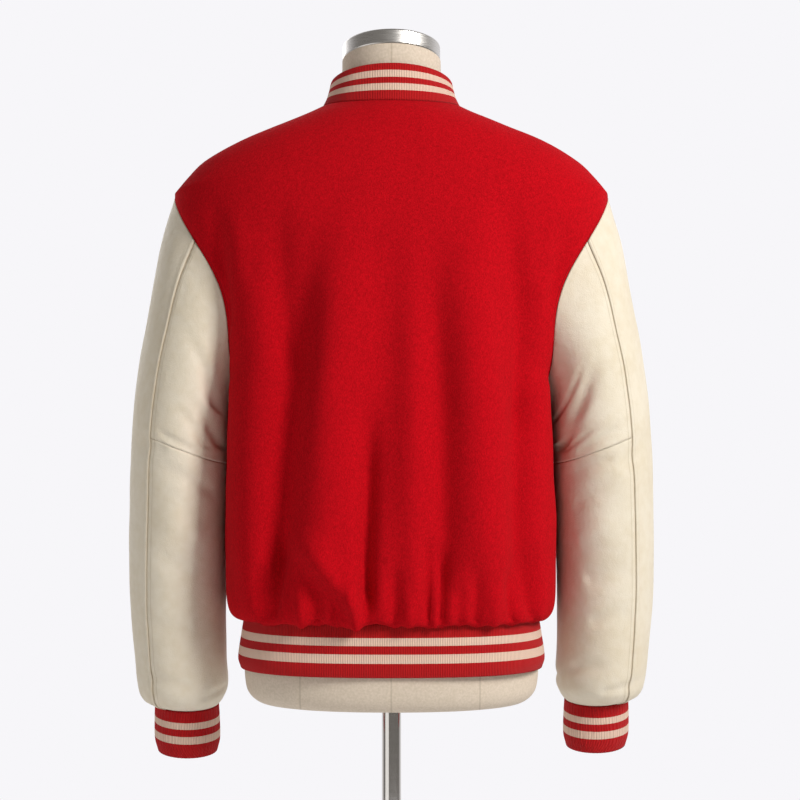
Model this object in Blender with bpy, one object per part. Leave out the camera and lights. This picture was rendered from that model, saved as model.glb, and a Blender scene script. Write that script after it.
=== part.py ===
"""Varsity jacket on a dress form: wool body, leather sleeves, striped rib trim, steel stand.

Metres, +Z up. The floor is z = 0 and the origin is the centre of the base's underside.
The garment's front faces -Y, and the wearer's left is +X.
Run it with: blender --background --python part.py
"""
from collections import namedtuple
from math import atan, atan2, cos, exp, pi, radians, sin, tan

import bmesh
import bpy
from mathutils import Matrix, Vector

# ---------------------------------------------------------------- driving sizes
WOOL = 0.0020            # wall of the melton body
LEATHER = 0.0016         # wall of the sleeves
RIB = 0.0030             # wall of the doubled rib knit
GAP = 0.0003             # between pieces that are sewn or rest together
STEP = 0.002             # parameter step for slopes of a surface

HEM_SEAM_Z = 0.858       # rib hem to wool
HEM_BOTTOM_Z = 0.7995
UNDERARM = Vector((0.172, 0.0, 1.112))
SHOULDER_TIP = Vector((0.246, 0.0, 1.330))
ARMHOLE_DEPTH = 0.082    # half of the armhole, front to back
ARMHOLE_BOW = 0.0215     # how far the armhole curves in towards the body

UNDERARM_ROW = 0.40      # rows of the body: 0 is the hem seam, 1 is the neck seam
TIP_ROW = 0.76
DENT_REACH = 0.062       # how far front and back the arms press the sides in

OVERLAP = 0.013          # each front runs this far past the centre
LAP_RISE = 0.018         # width over which the upper front climbs onto the lower one
NECK_GAP = 0.003         # from the centre front to each end of the collar
RIGHT_CUFF_LIFT = 0.006  # the wearer's right sleeve sits this much higher

SNAP_RADIUS = 0.0075
SNAP_HEIGHT = 0.003
SNAP_ROWS = (0.13, 0.29, 0.46, 0.65, 0.86)
HEM_SNAP_ROW = 0.5

FORM_SEGMENTS = 40
FORM_BOTTOM_Z = 0.758
NECK_TILT = radians(12.5)
NECK_SLOPE = tan(NECK_TILT)
NECK_TOP_Z = 1.4845
CAP_RADIUS = 0.0555
CAP_HEIGHT = 0.0185
CAP_EDGE = 0.0025
POLE_RADIUS = 0.011
BASE_RADIUS = 0.175
BASE_HEIGHT = 0.010
BASE_EDGE = 0.004
HUB_RADIUS = 0.026
HUB_HEIGHT = 0.034
HUB_FLOOR = 0.006        # steel left under the pole in the hub's bore
ROUND_SEGMENTS = 48

FOLD_FADE_TOP = 0.30     # share of a fold's length over which it starts, and ends
FOLD_FADE_LOW = 0.12
SEAM_FADE = 0.10         # folds die away over this share of the panel at its seams
ARMHOLE_EASE = 3         # half gaps that a sleeve keeps back from the armhole seam
UNDERARM_CLEAR = 0.0022  # how far a sleeve's first row stands off the body at the underarm
UNDERARM_SPREAD = radians(32.0)
BODY_CENTRE = Vector((0.0, 0.0, 1.10))
HEM_CENTRE = Vector((0.0, 0.0, 0.83))
COLLAR_CENTRE = Vector((0.0, 0.0, 1.40))

BACK_COLUMNS = 22        # mesh columns and rows of the cloth
FRONT_COLUMNS = 12
BODY_ROWS = 25
TOP_COLUMNS = 8
UNDER_COLUMNS = 10
CUFF_COLUMNS = 16
COLLAR_COLUMNS = 32
HEM_COLUMNS = 44
BAND_ROWS = 4
SNAP_SEGMENTS = 20

# ---------------------------------------------------------------- sections
BodyRow = namedtuple("BodyRow", "row side_x side_z back_y back_z front_y front_z square dent")
BODY = [
    BodyRow(0.00, 0.1668, 0.8580, 0.1195, 0.8600, 0.1197, 0.8600, 2.60, 0.000),
    BodyRow(0.03, 0.1765, 0.8550, 0.1290, 0.8560, 0.1228, 0.8660, 2.60, 0.000),
    BodyRow(0.07, 0.1845, 0.8660, 0.1370, 0.8660, 0.1275, 0.8800, 2.60, 0.000),
    BodyRow(0.12, 0.1865, 0.8950, 0.1405, 0.8950, 0.1330, 0.9030, 2.65, 0.001),
    BodyRow(0.23, 0.1845, 0.9820, 0.1410, 0.9820, 0.1385, 0.9800, 2.75, 0.005),
    BodyRow(0.33, 0.1775, 1.0550, 0.1405, 1.0550, 0.1385, 1.0500, 2.80, 0.013),
    BodyRow(0.40, 0.1720, 1.1120, 0.1400, 1.1120, 0.1385, 1.1050, 2.80, 0.018),
    BodyRow(0.50, 0.1720, 1.1120, 0.1400, 1.1700, 0.1370, 1.1550, 2.60, 0.012),
    BodyRow(0.60, 0.1720, 1.1120, 0.1390, 1.2450, 0.1330, 1.2150, 2.40, 0.000),
    BodyRow(0.70, 0.1720, 1.1120, 0.1340, 1.3120, 0.1260, 1.2650, 2.30, 0.000),
    BodyRow(0.76, 0.1720, 1.1120, 0.1270, 1.3480, 0.1200, 1.2910, 2.25, 0.000),
    BodyRow(0.86, 0.1720, 1.1120, 0.1090, 1.3920, 0.1080, 1.3250, 2.15, 0.000),
    BodyRow(0.94, 0.1720, 1.1120, 0.0900, 1.4190, 0.0960, 1.3440, 2.05, 0.000),
    BodyRow(1.00, 0.1720, 1.1120, 0.0750, 1.4310, 0.0880, 1.3540, 2.00, 0.000),
]

RidgeRow = namedtuple("RidgeRow", "row out height")
SHOULDER_RIDGE = [
    RidgeRow(0.76, 0.2460, 1.3300),
    RidgeRow(0.79, 0.2325, 1.3465),
    RidgeRow(0.82, 0.2150, 1.3655),
    RidgeRow(0.86, 0.1850, 1.3850),
    RidgeRow(0.91, 0.1430, 1.4030),
    RidgeRow(0.96, 0.1010, 1.4220),
    RidgeRow(1.00, 0.0780, 1.4340),
]

SleeveRow = namedtuple("SleeveRow", "row outer_x outer_z inner_x inner_z depth middle_y lean bow")
SLEEVE = [
    SleeveRow(0.00, 0.2460, 1.3300, 0.1720, 1.1120, 0.0820, 0.0000, 0.00, ARMHOLE_BOW),
    SleeveRow(0.10, 0.2612, 1.2780, 0.1785, 1.0980, 0.0835, 0.0000, 0.00, 0.0120),
    SleeveRow(0.22, 0.2730, 1.2150, 0.1815, 1.0800, 0.0840, 0.0000, 0.00, 0.0040),
    SleeveRow(0.34, 0.2855, 1.1480, 0.1830, 1.0560, 0.0830, -0.0010, 0.00, 0.0000),
    SleeveRow(0.48, 0.2950, 1.0700, 0.1848, 1.0280, 0.0800, -0.0040, 0.02, 0.0000),
    SleeveRow(0.62, 0.2993, 0.9780, 0.1880, 0.9540, 0.0740, -0.0120, 0.07, 0.0000),
    SleeveRow(0.78, 0.3005, 0.8800, 0.1905, 0.8700, 0.0690, -0.0220, 0.11, 0.0000),
    SleeveRow(0.89, 0.2960, 0.8100, 0.1905, 0.8040, 0.0660, -0.0300, 0.14, 0.0000),
    SleeveRow(0.95, 0.2905, 0.7760, 0.1895, 0.7710, 0.0620, -0.0340, 0.15, 0.0000),
    SleeveRow(0.985, 0.2820, 0.7580, 0.1950, 0.7560, 0.0500, -0.0360, 0.15, 0.0000),
    SleeveRow(1.00, 0.2735, 0.7515, 0.2003, 0.7495, 0.0365, -0.0365, 0.15, 0.0000),
]
ELBOW_ROW = 0.48
UPPER_ROWS = 7           # mesh rows above the elbow seam, and below it
LOWER_ROWS = 8
SeamRow = namedtuple("SeamRow", "row back_angle front_angle")
SLEEVE_SEAMS = [
    SeamRow(0.0, radians(60.0), radians(-100.0)),
    SeamRow(0.4, radians(61.0), radians(-104.0)),
    SeamRow(1.0, radians(57.0), radians(-108.0)),
]

CuffRow = namedtuple("CuffRow", "row drop grow shift_y")
CUFF = [
    CuffRow(0.00, 0.0000, 0.0000, 0.0000),
    CuffRow(0.30, 0.0170, 0.0008, -0.0026),
    CuffRow(0.75, 0.0420, 0.0008, -0.0064),
    CuffRow(1.00, 0.0560, -0.0025, -0.0085),
]

RibRow = namedtuple("RibRow", "row height half_width back front")
HEM_RIB = [
    RibRow(0.00, HEM_SEAM_Z, 0.1668, 0.1195, 0.1195),
    RibRow(0.35, 0.8380, 0.1700, 0.1215, 0.1215),
    RibRow(0.80, 0.8100, 0.1738, 0.1235, 0.1235),
    RibRow(1.00, HEM_BOTTOM_Z, 0.1710, 0.1210, 0.1210),
]
HEM_SQUARE = 2.6

CollarRow = namedtuple("CollarRow", "row half_width back front side_z back_z front_z")
COLLAR = [
    CollarRow(0.0, 0.0780, 0.0750, 0.0880, 1.4340, 1.4310, 1.3540),
    CollarRow(0.3, 0.0735, 0.0705, 0.0850, 1.4430, 1.4450, 1.3640),
    CollarRow(1.0, 0.0695, 0.0630, 0.0800, 1.4570, 1.4740, 1.3860),
]
COLLAR_ROUNDING = radians(16.0)  # the collar's ends round down over this much of the neck
COLLAR_END_HEIGHT = 0.35         # share of the height left at its ends

FormRow = namedtuple("FormRow", "half_width back front side_z back_z front_z square power")
FORM = [
    FormRow(0.1420, 0.0930, 0.0930, FORM_BOTTOM_Z, FORM_BOTTOM_Z, FORM_BOTTOM_Z, 2.3, 1.0),
    FormRow(0.1520, 0.1030, 0.1030, 0.7605, 0.7605, 0.7605, 2.3, 1.0),
    FormRow(0.1610, 0.1110, 0.1110, 0.7680, 0.7680, 0.7680, 2.3, 1.0),
    FormRow(0.1655, 0.1150, 0.1140, 0.7800, 0.7800, 0.7800, 2.3, 1.0),
    FormRow(0.1665, 0.1160, 0.1150, 0.8050, 0.8050, 0.8050, 2.3, 1.0),
    FormRow(0.1610, 0.1120, 0.1110, 0.8450, 0.8450, 0.8450, 2.3, 1.0),
    FormRow(0.1480, 0.0990, 0.1020, 0.9200, 0.9200, 0.9200, 2.3, 1.0),
    FormRow(0.1360, 0.0880, 0.0960, 1.0000, 1.0000, 1.0000, 2.3, 1.0),
    FormRow(0.1370, 0.0920, 0.0980, 1.0700, 1.0700, 1.0700, 2.3, 1.0),
    FormRow(0.1460, 0.1040, 0.1080, 1.1500, 1.1500, 1.1480, 2.3, 1.0),
    FormRow(0.1560, 0.1120, 0.1130, 1.2400, 1.2400, 1.2250, 2.3, 1.5),
    FormRow(0.1620, 0.1110, 0.1070, 1.3000, 1.3000, 1.2700, 2.3, 1.5),
    FormRow(0.1665, 0.1060, 0.1020, 1.3400, 1.3370, 1.2920, 2.3, 1.5),
    FormRow(0.1670, 0.1020, 0.0990, 1.3640, 1.3620, 1.3060, 2.2, 1.5),
    FormRow(0.1635, 0.0980, 0.0960, 1.3820, 1.3830, 1.3180, 2.2, 1.5),
    FormRow(0.1540, 0.0930, 0.0930, 1.3950, 1.3980, 1.3270, 2.1, 1.5),
    FormRow(0.1300, 0.0850, 0.0880, 1.4058, 1.4090, 1.3360, 2.0, 1.5),
    FormRow(0.1050, 0.0760, 0.0820, 1.4170, 1.4190, 1.3450, 2.0, 1.5),
    FormRow(0.0825, 0.0660, 0.0755, 1.4265, 1.4280, 1.3560, 2.0, 1.5),
    FormRow(0.0680, 0.0600, 0.0690, 1.4370, 1.4390, 1.3730, 2.0, 1.5),
    FormRow(0.0595, 0.0570, 0.0640, 1.4510, 1.4540, 1.4030, 2.0, 1.4),
    FormRow(0.0565, 0.0560, 0.0610, 1.4680, 1.4760, 1.4420, 2.0, 1.2),
    FormRow(0.0560, 0.0560, 0.0600, NECK_TOP_Z, NECK_TOP_Z + 0.0560 * NECK_SLOPE,
            NECK_TOP_Z - 0.0600 * NECK_SLOPE, 2.0, 1.0),
]

# Largest folds of the back: ridges rise above zero, troughs fall below it.
Fold = namedtuple("Fold", "top_x top_z middle_x low_x low_z half_width rise")
BACK_FOLDS = [
    Fold(0.200, 1.320, 0.197, 0.187, 1.200, 0.012, -0.0045),
    Fold(0.120, 1.320, 0.124, 0.120, 1.190, 0.014, -0.0035),
    Fold(0.072, 1.240, 0.110, 0.128, 0.880, 0.018, -0.0070),
    Fold(0.160, 1.290, 0.154, 0.152, 0.930, 0.017, 0.0030),
    Fold(0.060, 1.250, 0.055, 0.064, 0.900, 0.024, 0.0040),
    Fold(0.028, 1.000, 0.026, 0.026, 0.866, 0.011, -0.0065),
    Fold(-0.040, 1.240, -0.060, -0.050, 0.880, 0.017, -0.0045),
    Fold(-0.126, 1.310, -0.154, -0.130, 0.880, 0.017, -0.0065),
    Fold(-0.080, 1.240, -0.094, -0.096, 0.900, 0.026, 0.0040),
]
FRONT_FOLDS = [
    Fold(0.130, 1.230, 0.122, 0.130, 0.880, 0.020, -0.0050),
    Fold(0.070, 1.200, 0.074, 0.066, 0.880, 0.026, 0.0035),
    Fold(-0.124, 1.240, -0.130, -0.122, 0.880, 0.020, -0.0055),
    Fold(-0.075, 1.220, -0.070, -0.078, 0.880, 0.026, 0.0035),
]

BACK, FRONT = 1, -1
LEFT, RIGHT = 1, -1      # the wearer's


# ---------------------------------------------------------------- curves through the tables
def ease(share):
    """From 0 to 1 with level ends."""
    share = min(max(share, 0.0), 1.0)
    return share * share * (3.0 - 2.0 * share)


def mix(first, second, share):
    return first + (second - first) * share


def read(table, row):
    """A table's values at a place between its rows, on a smooth curve through them."""
    row = min(max(row, table[0].row), table[-1].row)
    index = sum(1 for entry in table[1:-1] if entry.row <= row)
    low, high = table[index], table[index + 1]
    before = table[max(index - 1, 0)]
    after = table[min(index + 2, len(table) - 1)]
    span = high.row - low.row
    share = (row - low.row) / span
    values = []
    for a, b, c, d in zip(before, low, high, after):
        leave = span * (c - a) / (high.row - before.row)
        arrive = span * (d - b) / (after.row - low.row)
        values.append(
            b * (1 + 2 * share) * (1 - share) ** 2
            + leave * share * (1 - share) ** 2
            + c * share ** 2 * (3 - 2 * share)
            + arrive * share ** 2 * (share - 1)
        )
    return type(low)(*values)


def squircle(angle, square):
    """A point of the unit superellipse in the direction of an angle."""
    across, along = cos(angle), sin(angle)
    reach = (abs(across) ** square + abs(along) ** square) ** (-1.0 / square)
    return across * reach, along * reach


# ---------------------------------------------------------------- body of the jacket
def armhole(share, face):
    """Armhole seam of the left side, from the underarm (0) to the shoulder tip (1)."""
    turn = pi * share
    rise = (1.0 - cos(turn)) / 2.0
    point = UNDERARM.lerp(SHOULDER_TIP, rise)
    point.x -= ARMHOLE_BOW * sin(pi * rise) ** 2
    point.y = face * ARMHOLE_DEPTH * sin(turn)
    return point


def panel_edge(row, face):
    """Outer edge of a left-hand panel: side seam, then armhole, then shoulder seam."""
    if row <= UNDERARM_ROW:
        here = read(BODY, row)
        return Vector((here.side_x, 0.0, here.side_z))
    if row < TIP_ROW:
        return armhole((row - UNDERARM_ROW) / (TIP_ROW - UNDERARM_ROW), face)
    here = read(SHOULDER_RIDGE, row)
    return Vector((here.out, 0.0, here.height))


Section = namedtuple("Section", "square edge depth height power dent half_width start reach")


def section(row, face):
    """Sizes of one row of a panel, and the angle at which its outer edge lies."""
    here = read(BODY, row)
    edge = panel_edge(row, face)
    depth, height, power = (
        (here.back_y, here.back_z, 1.0) if face == BACK else (here.front_y, here.front_z, 1.5)
    )
    reach = abs(edge.y) / depth
    width = (1.0 - reach ** here.square) ** (1.0 / here.square)
    dent = here.dent
    half_width = (edge.x + dent * exp(-(edge.y / DENT_REACH) ** 2)) / width
    start = atan2(reach, width)
    return Section(here.square, edge, depth, height, power, dent, half_width, start, reach)


def plain_body(row, angle_share, face):
    """The body without folds: share 0 is the centre and 1 the left-hand edge."""
    cut = section(row, face)
    across, along = squircle(mix(pi / 2, cut.start, angle_share), cut.square)
    y = cut.depth * along
    x = cut.half_width * across - cut.dent * exp(-(y / DENT_REACH) ** 2)
    rise = max((along - cut.reach) / (1.0 - cut.reach), 0.0) ** cut.power
    return Vector((x, face * y, mix(cut.edge.z, cut.height, rise)))


def fold_rise(point, folds):
    """How far the folds lift the cloth at a point."""
    rise = 0.0
    for fold in folds:
        down = (fold.top_z - point.z) / (fold.top_z - fold.low_z)
        if not 0.0 < down < 1.0:
            continue
        line = (
            fold.top_x * (1 - down) * (1 - 2 * down)
            + fold.middle_x * 4 * down * (1 - down)
            + fold.low_x * down * (2 * down - 1)
        )
        fade = ease(down / FOLD_FADE_TOP) * ease((1 - down) / FOLD_FADE_LOW)
        rise += fold.rise * fade * exp(-((point.x - line) / fold.half_width) ** 2)
    return rise


def body_surface(face, hand):
    """Surface function of one side of the body, with its folds."""
    folds = BACK_FOLDS if face == BACK else FRONT_FOLDS

    def place(share, row):
        point = plain_body(row, share, face)
        normal = surface_normal(lambda s, r: plain_body(r, s, face), share, row)
        if normal.dot((point.x, point.y, 0.0)) < 0.0:
            normal = -normal
        point.x *= hand
        normal.x *= hand
        settle = ease(row / SEAM_FADE) * ease((1.0 - row) / SEAM_FADE)
        edge_fade = ease((1.0 - abs(share)) / SEAM_FADE)
        return point + normal * fold_rise(point, folds) * settle * edge_fade

    return place


# ---------------------------------------------------------------- sleeves
def sleeve_surface(hand):
    """Surface function of a sleeve: angle 0 is the outer side, a quarter turn is the back."""
    lift = RIGHT_CUFF_LIFT if hand == RIGHT else 0.0

    def place(angle, row):
        here = read(SLEEVE, row)
        rise = (1.0 + cos(angle)) / 2.0
        x = mix(here.inner_x, here.outer_x, rise) - here.bow * sin(pi * rise) ** 2
        reach = here.depth * sin(angle)
        z = mix(here.inner_z, here.outer_z, rise) - here.lean * reach
        z += lift * ease((row - UNDERARM_ROW) / (1.0 - UNDERARM_ROW))
        return Vector((hand * x, here.middle_y + reach, z))

    return place


def cuff_surface(hand):
    """Surface function of a rib cuff, on from the sleeve's last row."""
    sleeve = sleeve_surface(hand)
    middle = (sleeve(0.0, 1.0) + sleeve(pi, 1.0)) / 2.0

    def place(angle, row):
        here = read(CUFF, row)
        rim = sleeve(angle, 1.0) - middle
        spread = 1.0 + here.grow / rim.length
        return middle + rim * spread + Vector((0.0, here.shift_y, -here.drop))

    return place


# ---------------------------------------------------------------- rib hem and collar
def hem_point(angle, row):
    here = read(HEM_RIB, row)
    across, along = squircle(angle, HEM_SQUARE)
    depth = here.back if along > 0.0 else here.front
    return Vector((here.half_width * across, depth * along, here.height))


def collar_point(angle, row):
    """The collar: angle 0 is the left side of the neck, a quarter turn is the back."""
    from_front = abs((angle - 1.5 * pi + pi) % (2 * pi) - pi)
    height = mix(COLLAR_END_HEIGHT, 1.0, sin(pi / 2 * min(from_front / COLLAR_ROUNDING, 1.0)))
    here = read(COLLAR, row * height)
    along = sin(angle)
    if along > 0.0:
        return Vector((here.half_width * cos(angle), here.back * along,
                       mix(here.side_z, here.back_z, along)))
    return Vector((here.half_width * cos(angle), here.front * along,
                   mix(here.side_z, here.front_z, (-along) ** 1.5)))


# ---------------------------------------------------------------- normals
def surface_normal(place, across, along):
    side = place(across + STEP, along) - place(across - STEP, along)
    up = place(across, along + STEP) - place(across, along - STEP)
    return side.cross(up).normalized()


def outward(place, across, along, centre):
    """The surface's normal, turned to point away from a centre."""
    normal = surface_normal(place, across, along)
    return normal if normal.dot(place(across, along) - centre) > 0.0 else -normal


def seam_normal(row, hand, face):
    """Shared wall direction of the pieces that meet at the outer edge of a body panel."""
    on_armhole = UNDERARM_ROW - STEP < row < TIP_ROW + STEP
    inside_armhole = UNDERARM_ROW + STEP < row < TIP_ROW - STEP
    total = Vector()
    for side in (face,) if inside_armhole else (BACK, FRONT):
        total += outward(body_surface(side, hand), 1.0 - 2 * STEP, row, BODY_CENTRE)
    if on_armhole:
        share = (row - UNDERARM_ROW) / (TIP_ROW - UNDERARM_ROW)
        sleeve = sleeve_surface(hand)
        middle = (sleeve(0.0, STEP) + sleeve(pi, STEP)) / 2.0
        total += outward(sleeve, face * pi * (1.0 - share), 2 * STEP, middle)
    return total.normalized()


# ---------------------------------------------------------------- mesh makers
def finish_object(name, bm, material, smooth=True):
    bmesh.ops.recalc_face_normals(bm, faces=bm.faces)
    if bm.calc_volume(signed=True) < 0.0:
        bmesh.ops.reverse_faces(bm, faces=bm.faces[:])
    mesh = bpy.data.meshes.new(name)
    bm.to_mesh(mesh)
    bm.free()
    mesh.materials.append(material)
    if smooth:
        mesh.shade_smooth()
        mesh.set_sharp_from_angle(angle=radians(40.0))
    made = bpy.data.objects.new(name, mesh)
    bpy.context.scene.collection.objects.link(made)
    return made


def bent_wall(name, place, wall, columns, rows, thickness, material, closed=False):
    """A flat slab of columns by rows, bent onto a surface: place gives a point, wall the way out.

    Both take shares from 0 to 1. The slab lies inside the surface. A closed one joins its ends.
    Rims split from their lower outer corner, so that two pieces run parallel along their seam.
    """
    bm = bmesh.new()
    bmesh.ops.create_grid(bm, x_segments=columns, y_segments=rows, size=0.5,
                          matrix=Matrix.Translation((0.5, 0.5, 0.0)))
    slab = bmesh.ops.extrude_face_region(bm, geom=bm.faces[:], use_keep_orig=True)
    inner = [item for item in slab["geom"] if isinstance(item, bmesh.types.BMVert)]
    bmesh.ops.translate(bm, verts=inner, vec=(0.0, 0.0, -1.0))
    bm.normal_update()
    if closed:
        ends = [face for face in bm.faces if abs(face.normal.x) > 0.5]
        bmesh.ops.delete(bm, geom=ends, context="FACES")
    rims = [face for face in bm.faces if abs(face.normal.z) < 0.5]
    outer = {vert for vert in bm.verts if vert.co.z > -0.5}
    for vert in bm.verts:
        across, along, deep = vert.co.x, vert.co.y, -vert.co.z
        vert.co = place(across, along) - wall(across, along) * (deep * thickness)
    for rim in rims:
        low = min((vert for vert in rim.verts if vert in outer), key=lambda vert: vert.co.z)
        corner = rim.verts[:].index(low)
        bmesh.utils.face_split(rim, low, rim.verts[corner - 2])
    if closed:
        bmesh.ops.remove_doubles(bm, verts=bm.verts[:], dist=GAP / 10)
    return finish_object(name, bm, material)


def ring_stack(name, place, columns, rows, material):
    """A closed solid through level rings: place takes the angle and a share of the height."""
    bm = bmesh.new()
    bmesh.ops.create_grid(bm, x_segments=columns, y_segments=rows, size=0.5,
                          matrix=Matrix.Translation((0.5, 0.5, 0.0)))
    for vert in bm.verts:
        vert.co = place(2 * pi * vert.co.x, vert.co.y)
    bmesh.ops.remove_doubles(bm, verts=bm.verts[:], dist=GAP / 10)
    bmesh.ops.holes_fill(bm, edges=bm.edges[:], sides=0)
    return finish_object(name, bm, material)


def turned(name, profile, material):
    """A solid turned round +Z from a profile of radius and height, from the axis to the axis."""
    bm = bmesh.new()
    points = [bm.verts.new((radius, 0.0, height)) for radius, height in profile]
    edges = [bm.edges.new(pair) for pair in zip(points, points[1:])]
    bmesh.ops.spin(bm, geom=points + edges, cent=(0, 0, 0), axis=(0, 0, 1),
                   angle=2 * pi, steps=ROUND_SEGMENTS, use_merge=True)
    bmesh.ops.remove_doubles(bm, verts=bm.verts[:], dist=GAP / 10)
    return finish_object(name, bm, material)


# ---------------------------------------------------------------- materials
def material(name, red, green, blue, roughness, metallic=0.0):
    made = bpy.data.materials.new(name)
    made.use_nodes = True
    shader = made.node_tree.nodes["Principled BSDF"]
    shader.inputs["Base Color"].default_value = (red, green, blue, 1.0)
    shader.inputs["Roughness"].default_value = roughness
    shader.inputs["Metallic"].default_value = metallic
    return made


# ---------------------------------------------------------------- pieces
def half_gap(place, across, along, side, up):
    """How far a parameter moves in half a seam gap; side or up says which one."""
    move = place(across + side * STEP, along + up * STEP) - place(across, along)
    return GAP / 2 * STEP / move.length


def body_panel(name, face, hands, columns, rows, cloth):
    """The back, which spans both hands, or a front, which runs past the centre."""
    half = body_surface(face, LEFT)

    def locate(across, along):
        row = mix(half_gap(half, 0.5, 0.0, 0, 1), 1.0 - half_gap(half, 0.5, 1.0, 0, -1), along)
        near_edge = 1.0 - half_gap(half, 1.0, row, -1, 0)
        if face == BACK:
            share = mix(-near_edge, near_edge, across)
        else:
            half_width = section(row, FRONT).half_width
            past = atan(OVERLAP / half_width) / (pi / 2)
            share = mix(-past, near_edge, across)
        return share, row

    def side_of(share):
        return (LEFT if share >= 0.0 else RIGHT) if face == BACK else hands

    def place(across, along):
        share, row = locate(across, along)
        hand = side_of(share)
        point = body_surface(face, hand)(abs(share) if face == BACK else share, row)
        if face == FRONT and hand == LEFT:
            climb = ease((OVERLAP + 2 * LAP_RISE - point.x) / LAP_RISE)
            point += out(across, along) * (WOOL + GAP) * climb
        return point

    def out(across, along):
        share, row = locate(across, along)
        hand = side_of(share)
        if across in (0.0, 1.0) and abs(share) > 0.9:
            return seam_normal(row, hand, face)
        flat = abs(share) if face == BACK else share
        return outward(body_surface(face, hand), flat, row, BODY_CENTRE)

    return bent_wall(name, place, out, columns, rows, WOOL, cloth)


def sleeve_row(share):
    """Row of a sleeve at a share of its mesh rows, so that all panels' rows meet at the elbow."""
    elbow = UPPER_ROWS / (UPPER_ROWS + LOWER_ROWS)
    if share < elbow:
        return ELBOW_ROW * share / elbow
    return mix(ELBOW_ROW, 1.0, (share - elbow) / (1.0 - elbow))


def sleeve_panel(name, hand, span, row_span, columns, rows, leather):
    """Part of a sleeve between two seams; span gives its first and last angle at a row."""
    surface = sleeve_surface(hand)

    def locate(across, along):
        row = sleeve_row(mix(*row_span, along))
        start, end = span(read(SLEEVE_SEAMS, row))
        edge = half_gap(surface, start, row, 1, 0)
        angle = mix(start + edge, end - edge, across)
        if along == 0.0:
            gaps = ARMHOLE_EASE if row == 0.0 else 1
            row += gaps * half_gap(surface, angle, row, 0, 1)
        if along == 1.0:
            row -= half_gap(surface, angle, row, 0, -1)
        return angle, row

    def place(across, along):
        angle, row = locate(across, along)
        point = surface(angle, row)
        if along == 0.0 and row < ELBOW_ROW / 2:
            near = exp(-((angle - pi) / UNDERARM_SPREAD) ** 2)
            point += Vector((hand, 0.0, -1.0)) * UNDERARM_CLEAR * near
        return point

    def out(across, along):
        angle, row = locate(across, along)
        if along == 0.0 and row < ELBOW_ROW / 2:
            turn = atan2(sin(angle), cos(angle))
            face = BACK if turn > 0.0 else FRONT
            return seam_normal(mix(TIP_ROW, UNDERARM_ROW, abs(turn) / pi), hand, face)
        middle = (surface(0.0, row) + surface(pi, row)) / 2.0
        return outward(surface, angle, row, middle)

    return bent_wall(name, place, out, columns, rows, LEATHER, leather)


def cuff(name, hand, rib):
    surface = cuff_surface(hand)

    def place(across, along):
        return surface(2 * pi * across, mix(GAP / CUFF[-1].drop, 1.0, along))

    def out(across, along):
        middle = (place(0.0, along) + place(0.5, along)) / 2.0
        return (place(across, along) - middle).normalized()

    return bent_wall(name, place, out, CUFF_COLUMNS, BAND_ROWS, RIB, rib, closed=True)


def collar(rib):
    end_angle = NECK_GAP / COLLAR[0].half_width

    def locate(across, along):
        angle = mix(-pi / 2 + end_angle, 1.5 * pi - end_angle, across)
        return angle, mix(4 * half_gap(collar_point, angle, 0.0, 0, 1), 1.0, along)

    def place(across, along):
        return collar_point(*locate(across, along))

    def out(across, along):
        angle, row = locate(across, along)
        return outward(collar_point, angle, min(row, 1.0 - STEP), COLLAR_CENTRE)

    return bent_wall("collar", place, out, COLLAR_COLUMNS, BAND_ROWS, RIB, rib)


def hem_angle(across):
    """Angle round the hem: both ends run past the centre front."""
    past = OVERLAP / HEM_RIB[1].half_width
    return mix(1.5 * pi + past, -pi / 2 - past, across)


def hem_place(across, along):
    """The rib hem: its left end climbs over its right end at the centre front."""
    angle = hem_angle(across)
    row = mix(GAP / (HEM_SEAM_Z - HEM_BOTTOM_Z), 1.0, along)
    point = hem_point(angle, row)
    if angle < 0.0:
        climb = ease((OVERLAP + 2 * LAP_RISE - point.x) / LAP_RISE)
        point += hem_out(across, along) * (RIB + GAP) * climb
    return point


def hem_out(across, along):
    normal = outward(hem_point, hem_angle(across), mix(0.1, 0.9, along), HEM_CENTRE)
    return Vector((normal.x, normal.y, 0.0)).normalized()


def snap(name, seat, normal, steel):
    """A capped snap, standing a seam gap off the cloth."""
    bm = bmesh.new()
    place = Matrix.Translation(seat + normal * (GAP + SNAP_HEIGHT / 2)) @ (
        normal.to_track_quat("Z", "Y").to_matrix().to_4x4())
    bmesh.ops.create_cone(bm, cap_ends=True, segments=SNAP_SEGMENTS, radius1=SNAP_RADIUS,
                          radius2=SNAP_RADIUS, depth=SNAP_HEIGHT)
    rim = [edge for edge in bm.edges if min(v.co.z for v in edge.verts) > 0.0]
    bmesh.ops.bevel(bm, geom=rim, offset=SNAP_HEIGHT / 3, offset_type="OFFSET", segments=2,
                    profile=0.5, affect="EDGES", material=-1)
    bmesh.ops.transform(bm, matrix=place, verts=bm.verts[:])
    return finish_object(name, bm, steel)


def snaps(steel):
    """Snaps down the middle of the lap, and one on the hem."""
    for number, row in enumerate(SNAP_ROWS, 1):
        surface = body_surface(FRONT, LEFT)
        normal = outward(surface, 0.0, row, BODY_CENTRE)
        snap(f"snap_{number}", surface(0.0, row) + normal * (WOOL + GAP), normal, steel)
    normal = outward(hem_point, -pi / 2, HEM_SNAP_ROW, HEM_CENTRE)
    seat = hem_point(-pi / 2, HEM_SNAP_ROW) + normal * (RIB + GAP)
    snap("snap_hem", seat, normal, steel)


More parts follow.
